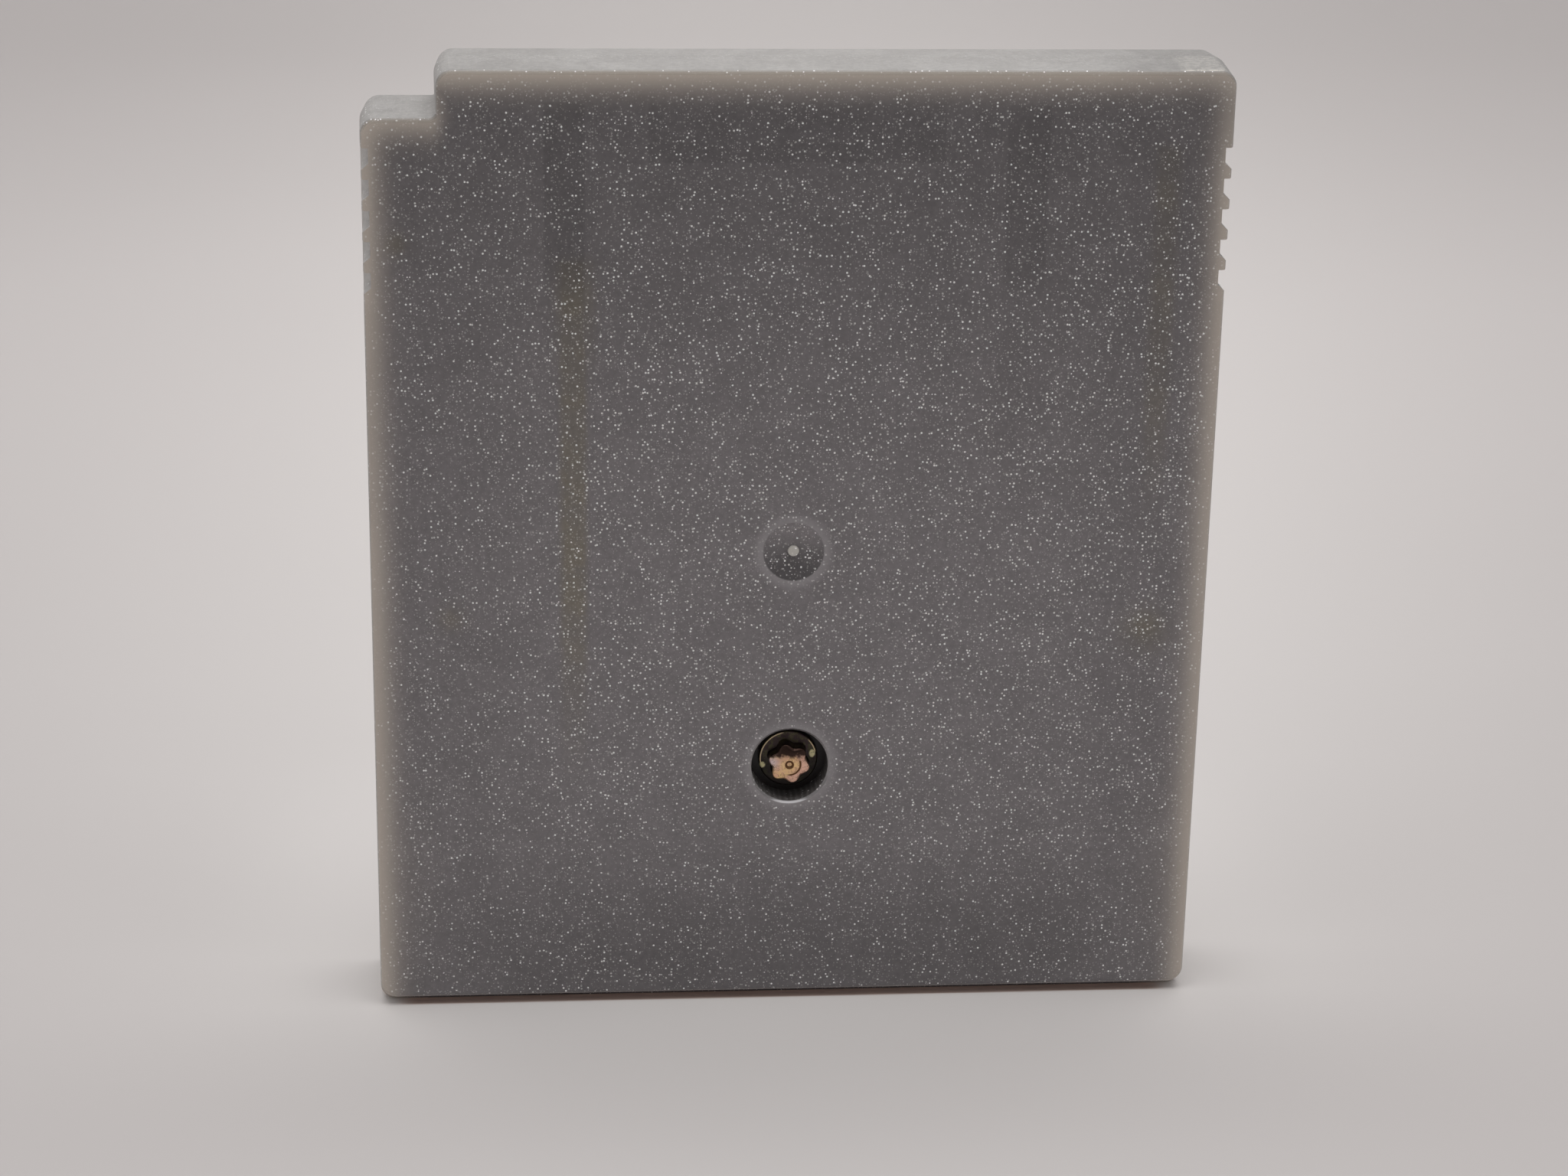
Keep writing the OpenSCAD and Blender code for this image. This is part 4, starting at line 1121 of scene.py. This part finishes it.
class CARTRIDGE_OT_shells(bpy.types.Operator):
    """Gives both halves of the housing their glitter-filled plastic"""

    bl_idname = "cartridge.shells"
    bl_label = "Shells"

    def execute(self, context):
        settings = context.scene.cartridge
        dress("back_shell", build_shell_plastic("Back shell plastic", settings, from_back=True))
        dress("front_shell", build_shell_plastic("Front shell plastic", settings, from_back=False))
        return {"FINISHED"}


class CARTRIDGE_OT_screw(bpy.types.Operator):
    """Makes the security screw with its domed six-lobed head and thread"""

    bl_idname = "cartridge.screw"
    bl_label = "Screw"

    def execute(self, context):
        plating = build_plating()
        dress("security_screw", plating)
        mesh = mesh_from_rings("lobed_screw", screw_rings(context.scene.cartridge))
        piece = bpy.data.objects.new("lobed_screw", mesh)
        context.scene.collection.objects.link(piece)
        piece.data.materials.append(plating)
        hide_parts("security_screw")
        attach(piece, "root")
        return {"FINISHED"}


class CARTRIDGE_OT_board(bpy.types.Operator):
    """Gives the circuit board and what it carries their finishes"""

    bl_idname = "cartridge.board"
    bl_label = "Circuit board"

    def execute(self, context):
        dress("circuit_board", build_laminate())
        for finishes, build in ((METALS, build_metal), (RESINS, build_resin)):
            for name, (nodes, *finish) in finishes.items():
                material = build(name, *finish)
                for node_name in nodes:
                    dress(node_name, material)
        return {"FINISHED"}


class CARTRIDGE_PT_steps(bpy.types.Panel):
    """Lists the steps that dress the cartridge"""

    bl_idname = "CARTRIDGE_PT_steps"
    bl_label = "Game cartridge"
    bl_space_type = "VIEW_3D"
    bl_region_type = "UI"
    bl_category = "Cartridge"

    def draw(self, context):
        layout = self.layout
        for settings in (context.scene.cartridge, context.scene.cartridge_stage):
            for name in settings.bl_rna.properties.keys():
                if name not in ("rna_type", "name"):
                    layout.prop(settings, name)
        for step in STEPS:
            layout.operator(step.bl_idname)


STEPS = (CARTRIDGE_OT_stage, CARTRIDGE_OT_shells, CARTRIDGE_OT_screw, CARTRIDGE_OT_board)
CLASSES = (CartridgeSettings, StageSettings, *STEPS, CARTRIDGE_PT_steps)


def register():
    for cls in CLASSES:
        bpy.utils.register_class(cls)
    bpy.types.Scene.cartridge = bpy.props.PointerProperty(type=CartridgeSettings)
    bpy.types.Scene.cartridge_stage = bpy.props.PointerProperty(type=StageSettings)


def unregister():
    del bpy.types.Scene.cartridge
    del bpy.types.Scene.cartridge_stage
    for cls in reversed(CLASSES):
        bpy.utils.unregister_class(cls)


def main():
    register()
    build_glitter_group()
    build_grain_group()
    build_glow_group()
    bpy.ops.cartridge.stage()
    bpy.ops.cartridge.shells()
    bpy.ops.cartridge.screw()
    bpy.ops.cartridge.board()


if __name__ == "__main__":
    main()
